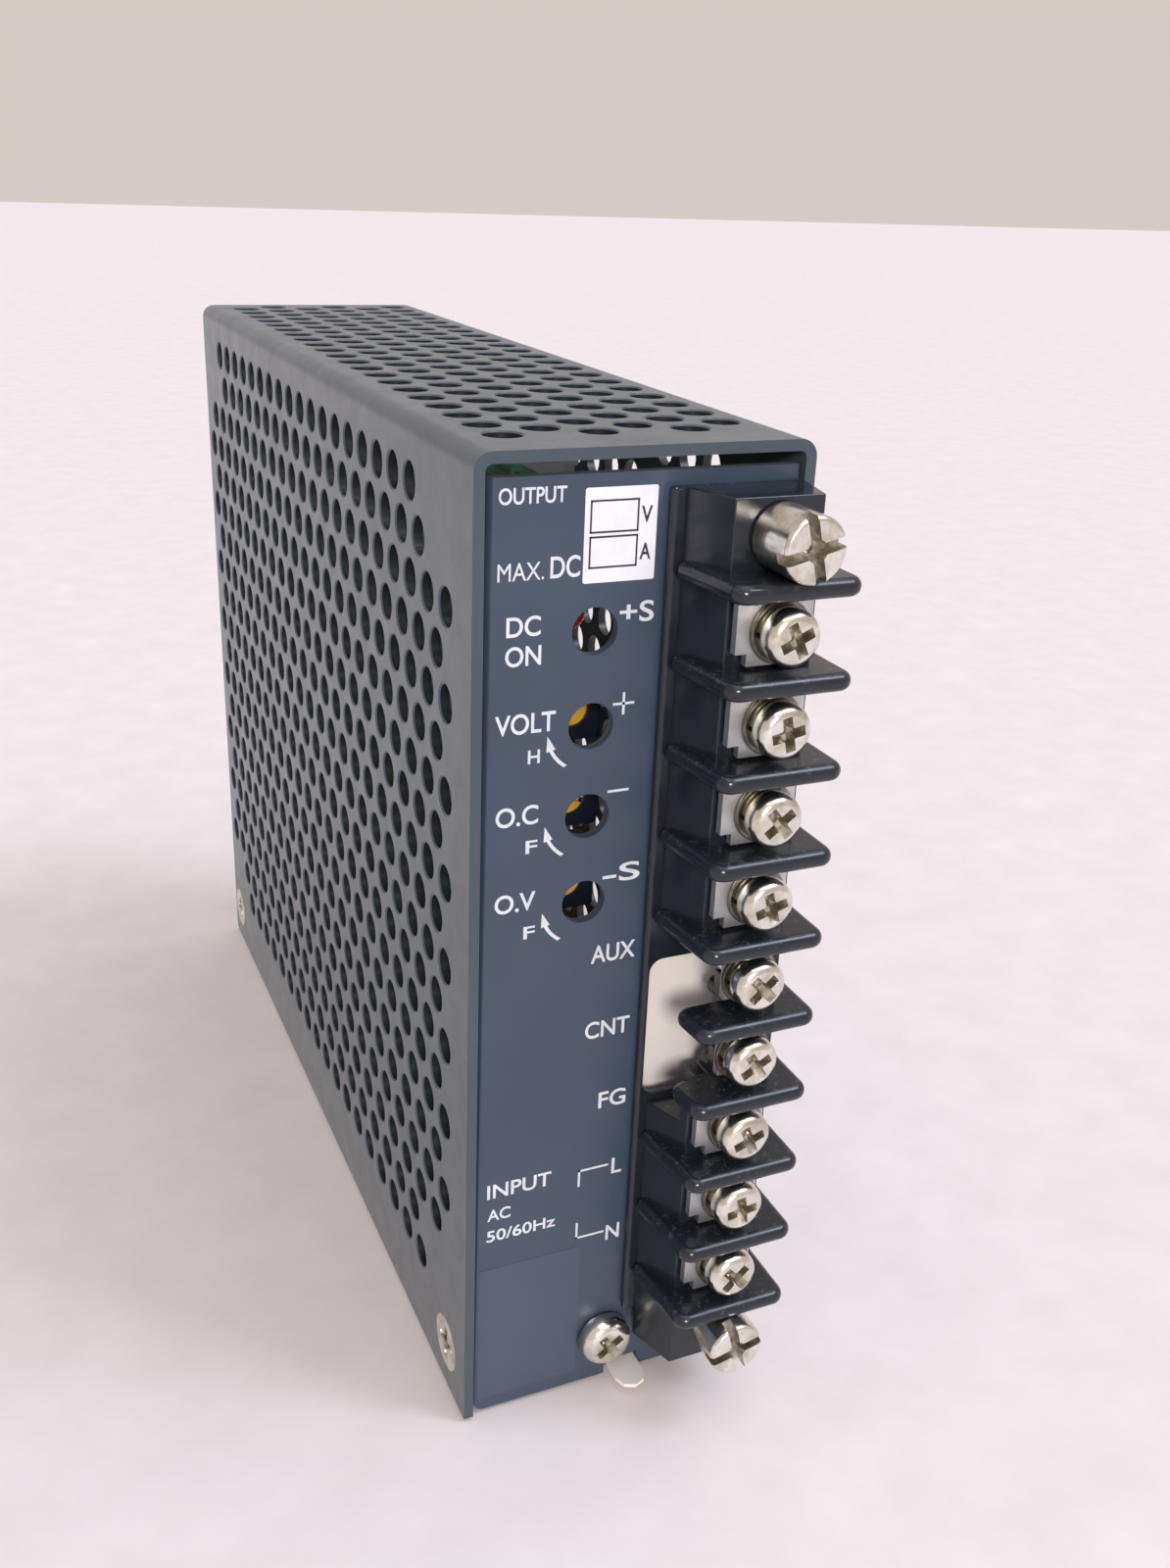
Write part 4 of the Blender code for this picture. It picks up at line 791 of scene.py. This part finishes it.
def makeLed():
    low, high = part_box("indicator_led")
    x, z = holeX, holeZ(0)
    flangeLong = indicator["flangeLong"]
    step = high.y - indicator["holder"] - flangeLong / 2
    lens = startCylinder("lens", (x, (low.y + step) / 2, z), "y", step - low.y, indicator["lens"])
    bevelEdges(lens, indicator["dome"], indicator["domeSteps"], lambda a, b: max(a.y, b.y) < low.y + near)
    flange = startCylinder("flange", (x, step + flangeLong / 2, z), "y", flangeLong, indicator["flange"])
    roundEdges(flange, indicator["flangeRound"])
    holder = startCube("holder", (low.x, high.y - indicator["holder"], low.z), high)
    roundEdges(holder, trimmer["bodyRound"])
    for part, finish in ((lens, redLens), (flange, redLens), (holder, blackEpoxy)):
        paint(part, finish)
    led = smooth(joinAll("indicatorLed", [lens, flange, holder]), angle=40)
    fit(led, None, "red_resin", "case", "indicator_led")


for number in (1, 2, 3):
    makeTrimmer(number)
makeLed()
print("indicator and trimmers made")


# solder joints on the back of the main board, glinting behind the side wall's holes
solder = {
    "board": 1.6 * mm, "wide": 1.9 * mm, "high": 0.9 * mm, "tip": 0.35, "round": 0.2 * mm, "sides": 12,
    "inset": 1.8 * mm, "pinStep": 2.54 * mm, "links": 8, "linkSteps": 1.6,
    "corners": ("transformer_winding", "filter_choke", "input_filter_capacitor", "fuse"),
    "rows": ("trimmer_body_1", "trimmer_body_2", "trimmer_body_3", "power_transistor", "output_rectifier",
             "bulk_capacitor", "output_capacitor_1", "output_capacitor_2", "indicator_led", "heat_sink"),
}


def pinPlaces():
    # six pins at the edges of a wide part, three in a row at a small one, and the links to the terminals
    places = []
    for node in solder["corners"]:
        low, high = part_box(node)
        for y in (low.y + solder["inset"], high.y - solder["inset"]):
            for z in (low.z + solder["inset"], (low.z + high.z) / 2, high.z - solder["inset"]):
                places.append((y, z))
    for node in solder["rows"]:
        low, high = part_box(node)
        for step in (-1, 0, 1):
            places.append(((low.y + high.y) / 2, (low.z + high.z) / 2 + step * solder["pinStep"]))
    low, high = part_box("terminal_board")
    for step in range(solder["links"]):
        places.append(((low.y + high.y) / 2, low.z + (1 + solder["linkSteps"] * step) * solder["pinStep"]))
    return places


def makeSolder():
    low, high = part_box("main_board")
    face = high.x - solder["board"]
    tip = solder["tip"]
    places = pinPlaces()
    firstY, firstZ = places[0]
    joint = startCylinder("joint", (face - solder["high"] / 2, firstY, firstZ), "x", solder["high"], solder["wide"],
                          solder["sides"])
    editFaces(joint, lambda c, n: n.x < -0.9)
    bpy.ops.transform.resize(value=(1, tip, tip), center_override=(face - solder["high"], firstY, firstZ))
    endEdit()
    roundEdges(joint, solder["round"], angle=20)
    joints = [joint]
    for y, z in places[1:]:
        joints.append(copyTo(joint, "joint", (0, y - firstY, z - firstZ)))
    fit(smooth(joinAll("solderJoints", joints), angle=50), tinLead, "tinned_brass", "case")


makeSolder()
print("solder joints made")


# marks on the panel: signs and plain words only, and bare labels (places in mm from the case's left and top)
marks = {
    "raise": 0.03 * mm, "bold": 0.014 * mm, "line": 0.24, "signHigh": 1.85, "signLift": 0.35, "plusArm": 0.9,
    # sign of each terminal, from and to
    "signs": (("+S", 13.4, 16.6), ("+", 13.3, 15.1), ("-", 13.2, 15.0), ("-S", 13.0, 16.7), ("AUX", 12.2, 16.7),
              ("CNT", 11.95, 16.55), ("FG", 13.7, 16.6), ("L", 15.5, 16.6), ("N", 15.25, 16.75)),
    # word, from, to, foot of the letters, height
    "words": (("OUTPUT", 2.35, 8.2, 4.4, 1.35), ("MAX.", 2.35, 6.4, 10.65, 1.5), ("DC", 6.95, 9.6, 10.65, 1.85),
              ("DC", 3.2, 6.25, 15.4, 1.75), ("ON", 3.15, 6.35, 17.95, 1.75), ("VOLT", 2.35, 7.85, 24.0, 1.85),
              ("O.C", 2.55, 6.5, 32.5, 1.85), ("O.V", 2.6, 6.45, 40.9, 1.85), ("INPUT", 2.35, 9.0, 71.75, 1.65),
              ("AC", 2.4, 4.8, 74.4, 1.35), ("50/60Hz", 2.35, 9.6, 76.9, 1.35)),
    "turnLetters": "HFF", "turnPlace": (5.4, 6.5, 2.8, 1.25),
    "arrowRadius": 4.05, "arrowFrom": 200, "arrowSweep": 34, "arrowSteps": 10, "arrowThick": 0.34,
    "arrowHead": 1.0 * mm, "arrowStretch": 1.9, "arrowLean": 15, "weld": 0.0001 * mm,
    "bracket": ((12.0, 72.7, 12.0, 70.95), (12.0, 70.95, 15.0, 70.95),
                (12.0, 77.4, 12.0, 79.15), (12.0, 79.15, 14.9, 79.15)),
    "card": (9.85, 3.35, 16.4, 11.3), "cardCorner": 0.2 * mm, "cardThick": 0.027 * mm,
    "boxes": ((10.4, 4.45, 14.65, 7.05), (10.4, 7.45, 14.65, 10.0)), "boxLine": 0.16, "boxRaise": 0.02 * mm,
    "units": (("V", 14.95, 15.95, 6.45, 1.4), ("A", 14.95, 15.95, 9.55, 1.4)),
    "plain": (1.6, 80.3, 12.5, 96.7), "plainCorner": 0.3 * mm,
}
inkY = panelLow.y - marks["raise"]


def panelSpot(fromLeft, fromTop):
    return Vector((left + fromLeft * mm, inkY, top - fromTop * mm))


def writeWord(text, fromLeft, toLeft, fromTop, high):
    # set to the width and the height that the word has on the panel
    bpy.ops.object.select_all(action="DESELECT")
    bpy.ops.object.text_add(rotation=(math.pi / 2, 0, 0))
    word = bpy.context.object
    word.data.body = text
    word.data.size = mm
    word.data.extrude = marks["raise"] / 2
    word.data.offset = 0 if "M" in text else marks["bold"]  # a thickened M closes up
    bpy.ops.object.convert(target="MESH")
    word = bpy.context.object
    low = Vector(word.bound_box[0])
    wide = (toLeft - fromLeft) * mm / word.dimensions.x
    tall = high * mm / word.dimensions.y
    word.scale = (wide, tall, 1)
    word.location = panelSpot(fromLeft, fromTop) - Vector((low.x * wide, 0, low.y * tall))
    return settle(word, "word")


def drawBar(fromLeft, fromTop, toLeft, toTop, thick=marks["line"]):
    low = panelSpot(min(fromLeft, toLeft) - thick / 2, max(fromTop, toTop) + thick / 2)
    high = panelSpot(max(fromLeft, toLeft) + thick / 2, min(fromTop, toTop) - thick / 2)
    return startCube("bar", low, high + Vector((0, marks["raise"] / 2, 0)))


def drawTurn(fromTop):
    # part of a ring round an adjuster's hole with an arrow head: turn this way to raise
    centre = panelSpot(panel["holeLeft"] / mm, fromTop)
    start = math.radians(marks["arrowFrom"])
    fromLeft = panel["holeLeft"] / mm + marks["arrowRadius"] * math.cos(start)
    drop = fromTop - marks["arrowRadius"] * math.sin(start)
    arc = drawBar(fromLeft, drop, fromLeft, drop, marks["arrowThick"])
    lowest = min(vertex.co.z for vertex in arc.data.vertices)
    editFaces(arc, lambda c, n: c.z < lowest + near)
    bpy.ops.mesh.spin(steps=marks["arrowSteps"], angle=math.radians(marks["arrowSweep"]), center=centre, axis=(0, 1, 0))
    bpy.ops.mesh.select_all(action="SELECT")
    bpy.ops.mesh.remove_doubles(threshold=marks["weld"])
    bpy.ops.mesh.normals_make_consistent(inside=False)
    endEdit()
    tip = panelSpot(fromLeft, drop)
    point = startCylinder("point", tip, "y", marks["raise"] / 2, marks["arrowHead"], 3)
    bpy.ops.transform.resize(value=(1, 1, marks["arrowStretch"]), center_override=tip)
    return [arc, turnAbout(settle(point, "point"), tip, "Y", marks["arrowLean"])]


def makeMarks():
    ink = []
    for number, (sign, fromLeft, toLeft) in enumerate(marks["signs"], 1):
        middle = (top - terminalZ(number)) / mm - marks["signLift"]
        if sign in ("+", "-"):
            ink.append(drawBar(fromLeft, middle, toLeft, middle))
        else:
            ink.append(writeWord(sign, fromLeft, toLeft, middle + marks["signHigh"] / 2, marks["signHigh"]))
        if sign == "+":
            centre = (fromLeft + toLeft) / 2
            ink.append(drawBar(centre, middle - marks["plusArm"], centre, middle + marks["plusArm"]))
    for word in marks["words"]:
        ink.append(writeWord(*word))
    fromLeft, toLeft, under, high = marks["turnPlace"]
    for number, letter in enumerate(marks["turnLetters"], 1):
        drop = (top - holeZ(number)) / mm
        ink.append(writeWord(letter, fromLeft, toLeft, drop + under, high))
        ink.extend(drawTurn(drop))
    for line in marks["bracket"]:
        ink.append(drawBar(*line))
    fit(joinAll("panelMarks", ink), whiteInk, "painted_steel", "case")


def makeCard(name, place, corner, finish):
    low, high = panelSpot(place[0], place[3]), panelSpot(place[2], place[1])
    card = startCube(name, low, high + Vector((0, marks["cardThick"], 0)))
    bevelEdges(card, corner, 3, lambda a, b: runs("y", a, b, marks["cardThick"] / 2))
    fit(card, finish, "insulating_film", "case")


def makeLabels():
    makeCard("ratingCard", marks["card"], marks["cardCorner"], whiteLabel)
    makeCard("plainLabel", marks["plain"], marks["plainCorner"], labelGrey)
    lines = []
    for a, b, c, d in marks["boxes"]:
        for line in ((a, b, c, b), (a, d, c, d), (a, b, a, d), (c, b, c, d)):
            lines.append(drawBar(*line, marks["boxLine"]))
    for unit in marks["units"]:
        lines.append(writeWord(*unit))
    outline = joinAll("ratingBoxes", lines)
    bpy.ops.transform.translate(value=(0, -marks["boxRaise"], 0))
    fit(settle(outline, "ratingBoxes"), blackInk, "painted_steel", "case")


makeMarks()
makeLabels()
print("marks and labels made")


# solids that keep their own shape
for name, finish in (
        ("chassis", caseSteel), ("window_insulator", ivory), ("base_insulator", ivory), ("main_board", board),
        ("terminal_board", board), ("transformer_core", ferrite), ("transformer_winding", windingTape),
        ("bulk_capacitor", sleeve), ("output_capacitor_1", sleeve), ("output_capacitor_2", sleeve),
        ("filter_choke", windingTape), ("input_filter_capacitor", windingTape), ("fuse", glass),
        ("heat_sink", aluminium), ("power_transistor", blackEpoxy), ("output_rectifier", blackEpoxy)):
    paint(nodes[name], finish)
for number in terminals:
    paint(nodes["terminal_plate_%d" % number], tin)
print("solids painted")


# floor, lights and camera: each sun has its level, aim, spread and tint
studio = {
    "floor": "#F3E9E7", "floorShade": "#ECE2E0", "floorSize": 6.0, "floorDrop": 0.2 * mm,
    "world": "#EDEAEA", "worldLevel": 0.34, "seen": "#D6CAC4",
    "ceilingLight": (1.25, (-0.2, 0.25, -1.0), 70, "#F4F6FF"),
    "windowLight": (2.1, (0.33, 1.0, -0.42), 14, "#FFF8F2"),
    "coolLight": (0.9, (-0.5, 0.35, -0.8), 22, "#D8E6FF"),
    "cameraMm": (-54.64, -165.18, 119.73), "cameraTurn": (67.191, -2.227, -23.604),
    "lens": 34.267, "sensor": 36, "clip": 5 * mm,
}


def makeFloor():
    bpy.ops.object.select_all(action="DESELECT")
    bpy.ops.mesh.primitive_plane_add(size=studio["floorSize"], location=(0, 0, -studio["floorDrop"]))
    floor = settle(bpy.context.object, "paleFloor")
    # pale matt card with a faint change of tone
    material, tree, shader, place = startMaterial("paleFloor", Roughness=0.75)
    tone = clouds(tree, place, [(0.3, linear(studio["floorShade"])), (0.7, linear(studio["floor"]))],
                  sizeMm=9.0, detail=4.0)
    tree.links.new(tone, shader.inputs["Base Color"])
    paint(floor, material)


def addSun(name, level, aim, spread, tint):
    light = bpy.data.lights.new(name, "SUN")
    light.energy = level
    light.color = linear(tint)[:3]
    light.angle = math.radians(spread)
    lamp = bpy.data.objects.new(name, light)
    lamp.rotation_euler = Vector(aim).to_track_quat("-Z", "Y").to_euler()
    bpy.context.scene.collection.objects.link(lamp)


def makeWorld():
    world = bpy.data.worlds.new("paleStudio")
    bpy.context.scene.world = world
    world.use_nodes = True
    tree = world.node_tree
    sky = tree.nodes["Background"]
    sky.inputs["Color"].default_value = linear(studio["world"])
    sky.inputs["Strength"].default_value = studio["worldLevel"]
    # the backdrop that the camera, metal and glass see
    seen = addNode(tree, "ShaderNodeBackground", {"Color": linear(studio["seen"]), "Strength": 1.0}, {})
    path = addNode(tree, "ShaderNodeLightPath", {}, {})
    looks = path.outputs["Is Camera Ray"]
    for ray in ("Is Glossy Ray", "Is Transmission Ray"):
        either = addNode(tree, "ShaderNodeMath", {"operation": "MAXIMUM"}, {0: looks, 1: path.outputs[ray]})
        looks = either.outputs["Value"]
    mixed = addNode(tree, "ShaderNodeMixShader", {}, {0: looks, 1: sky.outputs[0], 2: seen.outputs[0]})
    tree.links.new(mixed.outputs[0], tree.nodes["World Output"].inputs["Surface"])


def makeCamera():
    data = bpy.data.cameras.new("photoCamera")
    data.lens = studio["lens"]
    data.sensor_width = studio["sensor"]
    data.clip_start = studio["clip"]
    camera = bpy.data.objects.new("photoCamera", data)
    camera.location = [value * mm for value in studio["cameraMm"]]
    camera.rotation_euler = [math.radians(value) for value in studio["cameraTurn"]]
    bpy.context.scene.collection.objects.link(camera)
    bpy.context.scene.camera = camera
    bpy.context.scene.view_settings.view_transform = "Standard"


makeFloor()
makeWorld()
for name in ("ceilingLight", "windowLight", "coolLight"):
    addSun(name, *studio[name])
makeCamera()
print("studio set")
